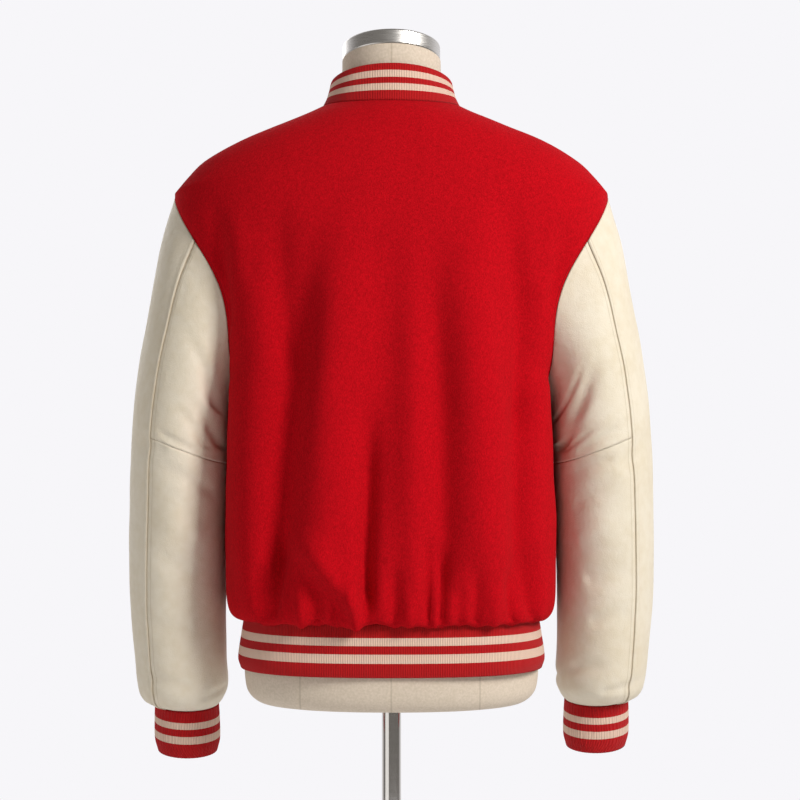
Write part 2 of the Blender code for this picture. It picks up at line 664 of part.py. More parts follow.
def dress_form(linen):
    """A limbless torso through level rings, which tilt at the shoulders and the neck."""
    def place(angle, share):
        here = FORM[round(share * (len(FORM) - 1))]
        across, along = squircle(angle, here.square)
        if along > 0.0:
            depth, height = here.back, mix(here.side_z, here.back_z, along)
        else:
            depth, height = here.front, mix(here.side_z, here.front_z, (-along) ** here.power)
        return Vector((here.half_width * across, depth * along, height))

    return ring_stack("dress_form", place, FORM_SEGMENTS, len(FORM) - 1, linen)


def neck_cap(steel):
    profile = [(0.0, 0.0), (CAP_RADIUS, 0.0), (CAP_RADIUS, CAP_HEIGHT - CAP_EDGE),
               (CAP_RADIUS - CAP_EDGE, CAP_HEIGHT), (0.0, CAP_HEIGHT)]
    made = turned("neck_cap", profile, steel)
    made.rotation_euler = (NECK_TILT, 0.0, 0.0)
    made.location = (0.0, 0.0, NECK_TOP_Z + GAP)
    return made


def pole(steel):
    foot = BASE_HEIGHT + HUB_FLOOR
    profile = [(0.0, foot + GAP), (POLE_RADIUS, foot + GAP),
               (POLE_RADIUS, FORM_BOTTOM_Z - GAP), (0.0, FORM_BOTTOM_Z - GAP)]
    return turned("pole", profile, steel)


def base(steel):
    bore = POLE_RADIUS + GAP
    foot = BASE_HEIGHT + HUB_FLOOR
    profile = [
        (0.0, 0.0),
        (BASE_RADIUS, 0.0),
        (BASE_RADIUS, BASE_HEIGHT - BASE_EDGE),
        (BASE_RADIUS - BASE_EDGE, BASE_HEIGHT),
        (HUB_RADIUS, BASE_HEIGHT),
        (HUB_RADIUS - BASE_EDGE, HUB_HEIGHT),
        (bore, HUB_HEIGHT),
        (bore, foot),
        (0.0, foot),
    ]
    return turned("base", profile, steel)


def clear_scene():
    for old in list(bpy.context.scene.objects):
        bpy.data.objects.remove(old, do_unlink=True)


def main():
    clear_scene()
    melton = material("red_melton_wool", 0.42, 0.008, 0.018, 0.9)
    leather = material("cream_leather", 0.80, 0.69, 0.49, 0.5)
    rib = material("striped_rib_knit", 0.40, 0.02, 0.025, 0.9)
    linen = material("linen_cover", 0.70, 0.61, 0.47, 0.9)
    brushed = material("brushed_steel", 0.55, 0.54, 0.52, 0.32, metallic=1.0)
    chrome = material("chrome", 0.60, 0.59, 0.58, 0.12, metallic=1.0)

    body_panel("back", BACK, None, BACK_COLUMNS, BODY_ROWS, melton)
    body_panel("front_left", FRONT, LEFT, FRONT_COLUMNS, BODY_ROWS, melton)
    body_panel("front_right", FRONT, RIGHT, FRONT_COLUMNS, BODY_ROWS, melton)
    elbow = UPPER_ROWS / (UPPER_ROWS + LOWER_ROWS)
    for side, hand in (("left", LEFT), ("right", RIGHT)):
        sleeve_panel(f"sleeve_{side}_top", hand, lambda seam: (seam.front_angle, seam.back_angle),
                     (0.0, 1.0), TOP_COLUMNS, UPPER_ROWS + LOWER_ROWS, leather)
        for part, row_span, rows in (("upper", (0.0, elbow), UPPER_ROWS),
                                     ("lower", (elbow, 1.0), LOWER_ROWS)):
            sleeve_panel(f"sleeve_{side}_under_{part}", hand,
                         lambda seam: (seam.back_angle, 2 * pi + seam.front_angle),
                         row_span, UNDER_COLUMNS, rows, leather)
        cuff(f"cuff_{side}", hand, rib)
    collar(rib)
    bent_wall("hem_rib", hem_place, hem_out, HEM_COLUMNS, BAND_ROWS, RIB, rib)
    snaps(brushed)
    dress_form(linen)
    neck_cap(brushed)
    pole(chrome)
    base(chrome)


main()
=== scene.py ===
"""Looks of a varsity jacket on a dress form: wool, leather, rib knit, linen and steel.

Metres, +Z up. The jacket's front faces -Y, and the wearer's left is +X.
"""

from collections import namedtuple
from math import atan, atan2, cos, exp, hypot, pi, radians, sin, tan

import bmesh
import bpy
from mathutils import Matrix, Vector, noise


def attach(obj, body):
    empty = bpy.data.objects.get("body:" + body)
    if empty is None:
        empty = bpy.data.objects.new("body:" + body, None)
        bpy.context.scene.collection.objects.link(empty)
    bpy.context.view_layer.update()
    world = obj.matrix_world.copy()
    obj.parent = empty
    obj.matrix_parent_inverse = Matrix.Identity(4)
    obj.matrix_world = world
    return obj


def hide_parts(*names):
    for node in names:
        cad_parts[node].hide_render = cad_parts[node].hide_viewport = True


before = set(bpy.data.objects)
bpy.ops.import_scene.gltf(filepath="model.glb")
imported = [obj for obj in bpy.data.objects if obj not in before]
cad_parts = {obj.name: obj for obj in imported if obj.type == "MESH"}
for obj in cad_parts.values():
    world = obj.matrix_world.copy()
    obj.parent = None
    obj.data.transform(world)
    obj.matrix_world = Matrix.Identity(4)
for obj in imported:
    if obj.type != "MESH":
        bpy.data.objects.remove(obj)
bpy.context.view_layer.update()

# ---------------------------------------------------------------- driving sizes
WOOL = 0.0020            # wall of the melton body
LEATHER = 0.0016         # wall of the sleeves
RIB = 0.0030             # wall of the doubled rib knit
GAP = 0.0003             # between pieces that are sewn or rest together
STEP = 0.002             # parameter step for slopes of a surface

HEM_SEAM_Z = 0.858       # rib hem to wool
HEM_BOTTOM_Z = 0.7995
UNDERARM = Vector((0.172, 0.0, 1.112))
SHOULDER_TIP = Vector((0.246, 0.0, 1.330))
ARMHOLE_DEPTH = 0.082    # half of the armhole, front to back
ARMHOLE_BOW = 0.0215     # how far the armhole curves in towards the body

UNDERARM_ROW = 0.40      # rows of the body: 0 is the hem seam, 1 is the neck seam
TIP_ROW = 0.76
DENT_REACH = 0.062       # how far front and back the arms press the sides in

OVERLAP = 0.013          # each front runs this far past the centre
LAP_RISE = 0.018         # width over which the upper front climbs onto the lower one
NECK_GAP = 0.003         # from the centre front to each end of the collar
RIGHT_CUFF_LIFT = 0.006  # the wearer's right sleeve sits this much higher

FORM_BOTTOM_Z = 0.758
NECK_TILT = radians(12.5)
NECK_SLOPE = tan(NECK_TILT)
NECK_TOP_Z = 1.4845
CAP_RADIUS = 0.0555
CAP_HEIGHT = 0.0185
POLE_RADIUS = 0.011
BASE_RADIUS = 0.175
BASE_HEIGHT = 0.010
BASE_EDGE = 0.004
HUB_RADIUS = 0.026
HUB_HEIGHT = 0.034
HUB_FLOOR = 0.006        # steel left under the pole in the hub's bore

# ---------------------------------------------------------------- sections
BodyRow = namedtuple("BodyRow", "row side_x side_z back_y back_z front_y front_z square dent")
BODY = [
    BodyRow(0.00, 0.1668, 0.8580, 0.1195, 0.8600, 0.1197, 0.8600, 2.60, 0.000),
    BodyRow(0.03, 0.1765, 0.8550, 0.1290, 0.8560, 0.1228, 0.8660, 2.60, 0.000),
    BodyRow(0.07, 0.1845, 0.8660, 0.1370, 0.8660, 0.1275, 0.8800, 2.60, 0.000),
    BodyRow(0.12, 0.1865, 0.8950, 0.1405, 0.8950, 0.1330, 0.9030, 2.65, 0.001),
    BodyRow(0.23, 0.1845, 0.9820, 0.1410, 0.9820, 0.1385, 0.9800, 2.75, 0.005),
    BodyRow(0.33, 0.1775, 1.0550, 0.1405, 1.0550, 0.1385, 1.0500, 2.80, 0.013),
    BodyRow(0.40, 0.1720, 1.1120, 0.1400, 1.1120, 0.1385, 1.1050, 2.80, 0.018),
    BodyRow(0.50, 0.1720, 1.1120, 0.1400, 1.1700, 0.1370, 1.1550, 2.60, 0.012),
    BodyRow(0.60, 0.1720, 1.1120, 0.1390, 1.2450, 0.1330, 1.2150, 2.40, 0.000),
    BodyRow(0.70, 0.1720, 1.1120, 0.1340, 1.3120, 0.1260, 1.2650, 2.30, 0.000),
    BodyRow(0.76, 0.1720, 1.1120, 0.1270, 1.3480, 0.1200, 1.2910, 2.25, 0.000),
    BodyRow(0.86, 0.1720, 1.1120, 0.1090, 1.3920, 0.1080, 1.3250, 2.15, 0.000),
    BodyRow(0.94, 0.1720, 1.1120, 0.0900, 1.4190, 0.0960, 1.3440, 2.05, 0.000),
    BodyRow(1.00, 0.1720, 1.1120, 0.0750, 1.4310, 0.0880, 1.3540, 2.00, 0.000),
]

RidgeRow = namedtuple("RidgeRow", "row out height")
SHOULDER_RIDGE = [
    RidgeRow(0.76, 0.2460, 1.3300),
    RidgeRow(0.79, 0.2325, 1.3465),
    RidgeRow(0.82, 0.2150, 1.3655),
    RidgeRow(0.86, 0.1850, 1.3850),
    RidgeRow(0.91, 0.1430, 1.4030),
    RidgeRow(0.96, 0.1010, 1.4220),
    RidgeRow(1.00, 0.0780, 1.4340),
]

SleeveRow = namedtuple("SleeveRow", "row outer_x outer_z inner_x inner_z depth middle_y lean bow")
SLEEVE = [
    SleeveRow(0.00, 0.2460, 1.3300, 0.1720, 1.1120, 0.0820, 0.0000, 0.00, ARMHOLE_BOW),
    SleeveRow(0.10, 0.2612, 1.2780, 0.1785, 1.0980, 0.0835, 0.0000, 0.00, 0.0120),
    SleeveRow(0.22, 0.2730, 1.2150, 0.1815, 1.0800, 0.0840, 0.0000, 0.00, 0.0040),
    SleeveRow(0.34, 0.2855, 1.1480, 0.1830, 1.0560, 0.0830, -0.0010, 0.00, 0.0000),
    SleeveRow(0.48, 0.2950, 1.0700, 0.1848, 1.0280, 0.0800, -0.0040, 0.02, 0.0000),
    SleeveRow(0.62, 0.2993, 0.9780, 0.1880, 0.9540, 0.0740, -0.0120, 0.07, 0.0000),
    SleeveRow(0.78, 0.3005, 0.8800, 0.1905, 0.8700, 0.0690, -0.0220, 0.11, 0.0000),
    SleeveRow(0.89, 0.2960, 0.8100, 0.1905, 0.8040, 0.0660, -0.0300, 0.14, 0.0000),
    SleeveRow(0.95, 0.2930, 0.7760, 0.1895, 0.7710, 0.0620, -0.0340, 0.15, 0.0000),
    SleeveRow(0.985, 0.2870, 0.7580, 0.1950, 0.7560, 0.0500, -0.0360, 0.15, 0.0000),
    SleeveRow(1.00, 0.2735, 0.7515, 0.2003, 0.7495, 0.0365, -0.0365, 0.15, 0.0000),
]
ELBOW_ROW = 0.48
SeamRow = namedtuple("SeamRow", "row back_angle front_angle")
SLEEVE_SEAMS = [
    SeamRow(0.0, radians(60.0), radians(-100.0)),
    SeamRow(0.4, radians(61.0), radians(-104.0)),
    SeamRow(1.0, radians(57.0), radians(-108.0)),
]

CuffRow = namedtuple("CuffRow", "row drop grow shift_y")
CUFF = [
    CuffRow(0.00, 0.0000, 0.0000, 0.0000),
    CuffRow(0.30, 0.0170, 0.0008, -0.0026),
    CuffRow(0.75, 0.0420, 0.0008, -0.0064),
    CuffRow(1.00, 0.0560, -0.0025, -0.0085),
]

RibRow = namedtuple("RibRow", "row height half_width back front")
HEM_RIB = [
    RibRow(0.00, HEM_SEAM_Z, 0.1668, 0.1195, 0.1195),
    RibRow(0.35, 0.8380, 0.1700, 0.1215, 0.1215),
    RibRow(0.80, 0.8100, 0.1738, 0.1235, 0.1235),
    RibRow(1.00, HEM_BOTTOM_Z, 0.1710, 0.1210, 0.1210),
]
HEM_SQUARE = 2.6

CollarRow = namedtuple("CollarRow", "row half_width back front side_z back_z front_z")
COLLAR = [
    CollarRow(0.0, 0.0780, 0.0750, 0.0880, 1.4340, 1.4310, 1.3540),
    CollarRow(0.3, 0.0735, 0.0705, 0.0850, 1.4430, 1.4450, 1.3640),
    CollarRow(1.0, 0.0695, 0.0630, 0.0800, 1.4570, 1.4740, 1.3860),
]
COLLAR_ROUNDING = radians(16.0)  # the collar's ends round down over this much of the neck
COLLAR_END_HEIGHT = 0.35         # share of the height left at its ends

FormRow = namedtuple("FormRow", "half_width back front side_z back_z front_z square power")
FORM = [
    FormRow(0.1420, 0.0930, 0.0930, FORM_BOTTOM_Z, FORM_BOTTOM_Z, FORM_BOTTOM_Z, 2.3, 1.0),
    FormRow(0.1520, 0.1030, 0.1030, 0.7605, 0.7605, 0.7605, 2.3, 1.0),
    FormRow(0.1610, 0.1110, 0.1110, 0.7680, 0.7680, 0.7680, 2.3, 1.0),
    FormRow(0.1655, 0.1150, 0.1140, 0.7800, 0.7800, 0.7800, 2.3, 1.0),
    FormRow(0.1665, 0.1160, 0.1150, 0.8050, 0.8050, 0.8050, 2.3, 1.0),
    FormRow(0.1610, 0.1120, 0.1110, 0.8450, 0.8450, 0.8450, 2.3, 1.0),
    FormRow(0.1480, 0.0990, 0.1020, 0.9200, 0.9200, 0.9200, 2.3, 1.0),
    FormRow(0.1360, 0.0880, 0.0960, 1.0000, 1.0000, 1.0000, 2.3, 1.0),
    FormRow(0.1370, 0.0920, 0.0980, 1.0700, 1.0700, 1.0700, 2.3, 1.0),
    FormRow(0.1460, 0.1040, 0.1080, 1.1500, 1.1500, 1.1480, 2.3, 1.0),
    FormRow(0.1560, 0.1120, 0.1130, 1.2400, 1.2400, 1.2250, 2.3, 1.5),
    FormRow(0.1620, 0.1110, 0.1070, 1.3000, 1.3000, 1.2700, 2.3, 1.5),
    FormRow(0.1665, 0.1060, 0.1020, 1.3400, 1.3370, 1.2920, 2.3, 1.5),
    FormRow(0.1670, 0.1020, 0.0990, 1.3640, 1.3620, 1.3060, 2.2, 1.5),
    FormRow(0.1635, 0.0980, 0.0960, 1.3820, 1.3830, 1.3180, 2.2, 1.5),
    FormRow(0.1540, 0.0930, 0.0930, 1.3950, 1.3980, 1.3270, 2.1, 1.5),
    FormRow(0.1300, 0.0850, 0.0880, 1.4058, 1.4090, 1.3360, 2.0, 1.5),
    FormRow(0.1050, 0.0760, 0.0820, 1.4170, 1.4190, 1.3450, 2.0, 1.5),
    FormRow(0.0825, 0.0660, 0.0755, 1.4265, 1.4280, 1.3560, 2.0, 1.5),
    FormRow(0.0680, 0.0600, 0.0690, 1.4370, 1.4390, 1.3730, 2.0, 1.5),
    FormRow(0.0595, 0.0570, 0.0640, 1.4510, 1.4540, 1.4030, 2.0, 1.4),
    FormRow(0.0565, 0.0560, 0.0610, 1.4680, 1.4760, 1.4420, 2.0, 1.2),
    FormRow(0.0560, 0.0560, 0.0600, NECK_TOP_Z, NECK_TOP_Z + 0.0560 * NECK_SLOPE,
            NECK_TOP_Z - 0.0600 * NECK_SLOPE, 2.0, 1.0),
]

BACK, FRONT = 1, -1
LEFT, RIGHT = 1, -1      # the wearer's

# Creases of the cloth, each a soft ridge (rise above zero) or trough, from its start to its end.
Crease = namedtuple("Crease", "start_x start_z end_x end_z bend half_width rise")
BACK_CREASES = [
    Crease(0.1945, 1.3300, 0.1790, 1.1650, 0.0010, 0.0080, -0.0075),
    Crease(0.1500, 1.3300, 0.1480, 1.2200, 0.0000, 0.0100, -0.0030),
    Crease(0.1210, 1.3400, 0.1150, 1.1200, 0.0045, 0.0110, -0.0075),
    Crease(0.0740, 1.3400, 0.1281, 0.8480, 0.0080, 0.0140, -0.0163),
    Crease(0.1570, 1.3400, 0.1560, 0.8480, 0.0000, 0.0180, 0.0072),
    Crease(0.0560, 1.3400, 0.0720, 0.8600, 0.0030, 0.0210, 0.0106),
    Crease(0.0123, 1.3400, 0.0198, 0.9300, -0.0120, 0.0160, -0.0042),
    Crease(-0.0230, 1.3300, -0.0220, 0.8700, 0.0000, 0.0120, 0.0045),
    Crease(-0.0410, 1.3200, -0.0560, 0.8480, -0.0065, 0.0120, -0.0106),
    Crease(-0.0809, 1.3400, -0.1050, 0.8650, 0.0000, 0.0200, 0.0106),
    Crease(-0.1190, 1.3500, -0.1470, 1.0400, -0.0100, 0.0120, -0.0137),
    Crease(-0.1440, 1.1800, -0.1460, 0.8480, 0.0040, 0.0110, -0.0131),
    Crease(-0.1030, 1.3000, -0.1290, 1.0800, -0.0030, 0.0095, -0.0045),
    Crease(-0.1620, 1.3250, -0.1680, 1.2200, 0.0000, 0.0090, -0.0040),
    Crease(-0.1950, 1.3200, -0.1810, 1.1900, 0.0000, 0.0085, -0.0065),
    Crease(0.1120, 0.9650, 0.0330, 0.8640, -0.0060, 0.0090, 0.0097),
    Crease(0.0235, 1.1200, 0.0262, 0.8480, 0.0015, 0.0075, -0.0156),
    Crease(0.0420, 0.9300, 0.0345, 0.8460, 0.0020, 0.0045, 0.0077),
    Crease(-0.0385, 0.9700, -0.0420, 0.8460, 0.0000, 0.0046, -0.0094),
    Crease(-0.0480, 0.9300, -0.0475, 0.8460, 0.0000, 0.0032, 0.0045),
    Crease(-0.0560, 0.9500, -0.0540, 0.8460, 0.0000, 0.0042, -0.0090),
    Crease(0.1270, 0.9800, 0.1310, 0.8460, 0.0000, 0.0055, -0.0106),
    Crease(0.1430, 0.9300, 0.1390, 0.8460, 0.0000, 0.0045, -0.0077),
    Crease(-0.1300, 0.9300, -0.1330, 0.8460, 0.0000, 0.0045, -0.0072),
    Crease(-0.1540, 0.9500, -0.1570, 0.8460, 0.0000, 0.0052, -0.0083),
    Crease(0.0830, 0.9200, 0.0790, 0.8460, 0.0000, 0.0048, -0.0063),
    Crease(0.0990, 0.9050, 0.0960, 0.8460, 0.0000, 0.0040, 0.0040),
    Crease(0.0560, 0.9000, 0.0590, 0.8460, 0.0000, 0.0038, -0.0038),
    Crease(-0.0040, 0.9300, -0.0040, 0.8460, 0.0000, 0.0048, -0.0065),
    Crease(-0.0210, 0.9000, -0.0200, 0.8460, 0.0000, 0.0040, 0.0036),
    Crease(-0.0760, 0.9100, -0.0740, 0.8460, 0.0000, 0.0042, -0.0044),
    Crease(-0.0930, 0.9300, -0.0920, 0.8460, 0.0000, 0.0050, -0.0070),
    Crease(-0.1120, 0.9050, -0.1130, 0.8460, 0.0000, 0.0042, 0.0040),
]
FRONT_CREASES = [
    Crease(0.1260, 1.2900, 0.1320, 0.8480, -0.0060, 0.0130, -0.0110),
    Crease(0.0800, 1.2900, 0.0680, 0.8600, 0.0030, 0.0200, 0.0074),
    Crease(0.0500, 1.2600, 0.0440, 0.8700, 0.0000, 0.0120, -0.0045),
    Crease(0.1560, 1.3000, 0.1540, 0.8700, 0.0000, 0.0160, 0.0046),
    Crease(0.0980, 1.1000, 0.1080, 0.8480, 0.0040, 0.0085, -0.0096),
    Crease(0.0310, 0.9600, 0.0330, 0.8480, 0.0000, 0.0052, -0.0060),
    Crease(0.0560, 0.9200, 0.0550, 0.8480, 0.0000, 0.0044, 0.0042),
    Crease(0.0740, 0.9400, 0.0700, 0.8480, 0.0000, 0.0048, -0.0072),
    Crease(0.1480, 0.9300, 0.1500, 0.8480, 0.0000, 0.0048, -0.0067),
    Crease(-0.1250, 1.2900, -0.1260, 0.8480, 0.0060, 0.0130, -0.0115),
    Crease(-0.0800, 1.2900, -0.0760, 0.8600, 0.0000, 0.0200, 0.0074),
    Crease(-0.0540, 1.2600, -0.0460, 0.8700, 0.0030, 0.0115, -0.0045),
    Crease(-0.1580, 1.3000, -0.1560, 0.8700, 0.0000, 0.0160, 0.0044),
    Crease(-0.0930, 1.0800, -0.1020, 0.8480, 0.0000, 0.0085, -0.0103),
    Crease(-0.0360, 0.9500, -0.0330, 0.8480, 0.0000, 0.0050, -0.0065),
    Crease(-0.0560, 0.9100, -0.0570, 0.8480, 0.0000, 0.0042, 0.0040),
    Crease(-0.0700, 0.9300, -0.0680, 0.8480, 0.0000, 0.0046, -0.0066),
    Crease(-0.1470, 0.9400, -0.1500, 0.8480, 0.0000, 0.0050, -0.0072),
]

# The same on the sleeves: turn is the angle round the sleeve in degrees, row its place down it.
SleeveCrease = namedtuple("SleeveCrease", "start_turn start_row end_turn end_row bend half_width rise")
RIGHT_SLEEVE_CREASES = [
    SleeveCrease(88, 0.20, 160, 0.46, 0.004, 0.0090, -0.0060),
    SleeveCrease(96, 0.185, 172, 0.26, 0.000, 0.0070, -0.0026),
    SleeveCrease(112, 0.30, 165, 0.40, -0.003, 0.0100, 0.0030),
    SleeveCrease(64, 0.440, 130, 0.468, 0.003, 0.0060, -0.0022),
    SleeveCrease(96, 0.400, 150, 0.450, 0.002, 0.0045, -0.0018),
    SleeveCrease(150, 0.520, 80, 0.505, -0.003, 0.0055, -0.0024),
    SleeveCrease(70, 0.550, 140, 0.580, 0.002, 0.0065, -0.0020),
    SleeveCrease(20, 0.490, 80, 0.530, 0.002, 0.0080, -0.0020),
    SleeveCrease(76, 0.620, 136, 0.650, 0.003, 0.0110, 0.0024),
    SleeveCrease(60, 0.700, 126, 0.730, -0.003, 0.0110, -0.0024),
    SleeveCrease(60, 0.790, 118, 0.815, 0.000, 0.0060, -0.0020),
    SleeveCrease(84, 0.890, 146, 0.910, 0.002, 0.0055, -0.0024),
    SleeveCrease(24, 0.935, 100, 0.950, 0.000, 0.0050, -0.0022),
    SleeveCrease(150, 0.945, 210, 0.935, 0.000, 0.0050, -0.0024),
    SleeveCrease(-90, 0.460, -6, 0.490, 0.003, 0.0080, -0.0028),
    SleeveCrease(-126, 0.520, -56, 0.545, 0.003, 0.0070, -0.0030),
    SleeveCrease(-110, 0.640, -40, 0.670, 0.000, 0.0110, 0.0024),
    SleeveCrease(-96, 0.890, -26, 0.915, 0.000, 0.0055, -0.0024),
]
LEFT_SLEEVE_CREASES = [
    SleeveCrease(90, 0.14, 140, 0.27, 0.004, 0.0120, -0.0030),
    SleeveCrease(112, 0.28, 158, 0.44, 0.000, 0.0095, -0.0036),
    SleeveCrease(98, 0.34, 130, 0.46, 0.000, 0.0080, -0.0024),
    SleeveCrease(140, 0.470, 66, 0.458, 0.002, 0.0055, -0.0022),
    SleeveCrease(60, 0.525, 148, 0.550, 0.003, 0.0065, -0.0024),
    SleeveCrease(20, 0.510, 86, 0.485, 0.000, 0.0080, -0.0020),
    SleeveCrease(70, 0.600, 130, 0.640, 0.000, 0.0110, 0.0024),
    SleeveCrease(64, 0.680, 116, 0.705, 0.000, 0.0080, -0.0020),
    SleeveCrease(54, 0.825, 116, 0.810, 0.000, 0.0060, -0.0022),
    SleeveCrease(34, 0.915, 116, 0.930, 0.003, 0.0055, -0.0024),
    SleeveCrease(94, 0.955, 176, 0.948, 0.000, 0.0050, -0.0022),
    SleeveCrease(-92, 0.485, -8, 0.465, 0.003, 0.0080, -0.0028),
    SleeveCrease(-124, 0.540, -50, 0.520, 0.003, 0.0070, -0.0030),
    SleeveCrease(-110, 0.660, -40, 0.630, 0.000, 0.0110, 0.0024),
    SleeveCrease(-102, 0.900, -30, 0.918, 0.000, 0.0055, -0.0024),
]
SEAM_SETTLE = 0.040      # rows over which the creases start above the hem seam
EDGE_FADE = 0.10         # and over which they end at a panel's other edges
SLEEVE_FADE_TOP = 0.06   # the same at a sleeve's armhole and at its cuff
SLEEVE_FADE_END = 0.02
HEM_SAG = 0.0050         # how unevenly the wool hangs over its rib, and the length of that
HEM_SAG_LENGTH = 0.030
HEM_SAG_ROW = 0.03       # the row that hangs lowest, and how many rows go with it
CREASE_FADE_IN = 0.40    # shares of a crease over which it comes and goes
CREASE_FADE_OUT = 0.18
CREASE_SPREAD = 1.9      # times as wide at its start as at its end
SLEEVE_REACH = 0.052     # round the sleeve, one radian is this far
SLEEVE_LENGTH = 0.60
LAP_WIDTH = 0.0064       # sleeve seams are lapped this wide and stand this proud
LAP_HEIGHT = 0.0010
ELBOW_SPLIT = 0.0004     # half the gap at the elbow seam, as a share of the sleeve
STITCH_IN = 0.0032       # topstitching, from the edge of a wool panel
STITCH_HALF = 0.00045    # half as wide as its thread
STITCH_DIP = 0.0004      # and the cloth is drawn in by this much under it
RIB_PITCH = 0.0019       # from one knit rib to the next
COURSE_PITCH = 0.0012    # from one row of knitting to the next
THREAD_PITCH = 0.0009    # of the form's linen, drawn coarser than it is, so that it shows
FORM_SEAM_HALF = 0.0009
MELTON_WAVE = 0.0011     # slow unevenness of hanging wool, and its length
MELTON_WAVE_LENGTH = 0.045
LEATHER_WAVE = 0.0007    # the same of the leather
LEATHER_WAVE_LENGTH = 0.04
SNAP_CLEAR = 0.012       # creases start this far from the centre front
SNAP_CLEAR_FADE = 0.045  # and are full this much farther out
KEY_POWER = 84.0
STRIP_POWER = 11.0
FILL_POWER = 14.0
FLOOR_RADIUS = 3.0
SHARP_FROM = radians(40.0)

# where the bands of each rib start, red and cream in turn, as shares of its height
HEM_BANDS = (0.0, 0.265, 0.408, 0.554, 0.709)
CUFF_BANDS = (0.0, 0.236, 0.375, 0.524, 0.685)
COLLAR_BANDS = (0.0, 0.238, 0.423, 0.601, 0.798)

# sRGB colours
MELTON_RED = "C40716"
MELTON_DARK = "9C030D"
MELTON_SHEEN = "E81E24"
MELTON_THREAD = "6A040C"
RIB_RED = "C01418"
RIB_CREAM = "F2D2BC"
LEATHER_CREAM = "E0D6C2"
LEATHER_WORN = "CFBF9F"
# painted shade at the leather's seams
LEATHER_SEAM_SHADE = "9A8462"
LEATHER_THREAD = "B09C78"
LINEN = "DCCDBB"
LINEN_DARK = "CFC0AB"
LINEN_SEAM = "A08F74"
STEEL = "C9C5BF"
CHROME = "CFCBC6"
STUDIO = "F7F6F9"
FLOOR_WHITE = "F4F4F6"
ROOM = "7C7976"
RIB_FURROW_SHADE = (0.10, 0.02, 0.02, 1.0)  # linear: the painted shade that darkens the furrows between ribs

# patterns, as repeats to the metre, with the size of one beside them
NAP = (950.0, 500.0, 520.0)           # tufts 1 mm across and 2 mm along
NAP_LIE = (0.0, radians(-38.0), 0.0)
MOTTLE = 260.0                        # 4 mm
FUZZ = 1500.0                         # 0.7 mm
HIDE_GRAIN = 850.0                    # 1.2 mm
HIDE_CRINKLE = 95.0                   # 10 mm
HIDE_PATCH = 16.0                     # 60 mm
SLUB = 420.0                          # 2.4 mm
FINISHING_MARKS = (60.0, 60.0, 2600.0)  # 17 mm long and 0.4 mm apart


# ---------------------------------------------------------------- curves through the tables
def ease(share):
    """From 0 to 1 with level ends."""
    share = min(max(share, 0.0), 1.0)
    return share * share * (3.0 - 2.0 * share)


def mix(first, second, share):
    return first + (second - first) * share


def read(table, row):
    """A table's values at a place between its rows, on a smooth curve through them."""
    row = min(max(row, table[0].row), table[-1].row)
    index = sum(1 for entry in table[1:-1] if entry.row <= row)
    low, high = table[index], table[index + 1]
    before = table[max(index - 1, 0)]
    after = table[min(index + 2, len(table) - 1)]
    span = high.row - low.row
    share = (row - low.row) / span
    values = []
    for a, b, c, d in zip(before, low, high, after):
        leave = span * (c - a) / (high.row - before.row)
        arrive = span * (d - b) / (after.row - low.row)
        values.append(
            b * (1 + 2 * share) * (1 - share) ** 2
            + leave * share * (1 - share) ** 2
            + c * share ** 2 * (3 - 2 * share)
            + arrive * share ** 2 * (share - 1)
        )
    return type(low)(*values)


def squircle(angle, square):
    """A point of the unit superellipse in the direction of an angle."""
    across, along = cos(angle), sin(angle)
    reach = (abs(across) ** square + abs(along) ** square) ** (-1.0 / square)
    return across * reach, along * reach


# ---------------------------------------------------------------- body of the jacket
def armhole(share, face):
    """Armhole seam of the left side, from the underarm (0) to the shoulder tip (1)."""
    turn = pi * share
    rise = (1.0 - cos(turn)) / 2.0
    point = UNDERARM.lerp(SHOULDER_TIP, rise)
    point.x -= ARMHOLE_BOW * sin(pi * rise) ** 2
    point.y = face * ARMHOLE_DEPTH * sin(turn)
    return point


def panel_edge(row, face):
    """Outer edge of a left-hand panel: side seam, then armhole, then shoulder seam."""
    if row <= UNDERARM_ROW:
        here = read(BODY, row)
        return Vector((here.side_x, 0.0, here.side_z))
    if row < TIP_ROW:
        return armhole((row - UNDERARM_ROW) / (TIP_ROW - UNDERARM_ROW), face)
    here = read(SHOULDER_RIDGE, row)
    return Vector((here.out, 0.0, here.height))


Section = namedtuple("Section", "square edge depth height power dent half_width start reach")


def section(row, face):
    """Sizes of one row of a panel, and the angle at which its outer edge lies."""
    here = read(BODY, row)
    edge = panel_edge(row, face)
    depth, height, power = (
        (here.back_y, here.back_z, 1.0) if face == BACK else (here.front_y, here.front_z, 1.5)
    )
    reach = abs(edge.y) / depth
    width = (1.0 - reach ** here.square) ** (1.0 / here.square)
    dent = here.dent
    half_width = (edge.x + dent * exp(-(edge.y / DENT_REACH) ** 2)) / width
    start = atan2(reach, width)
    return Section(here.square, edge, depth, height, power, dent, half_width, start, reach)


def plain_body(row, angle_share, face):
    """The body without folds: share 0 is the centre and 1 the left-hand edge."""
    cut = section(row, face)
    across, along = squircle(mix(pi / 2, cut.start, angle_share), cut.square)
    y = cut.depth * along
    x = cut.half_width * across - cut.dent * exp(-(y / DENT_REACH) ** 2)
    rise = max((along - cut.reach) / (1.0 - cut.reach), 0.0) ** cut.power
    return Vector((x, face * y, mix(cut.edge.z, cut.height, rise)))


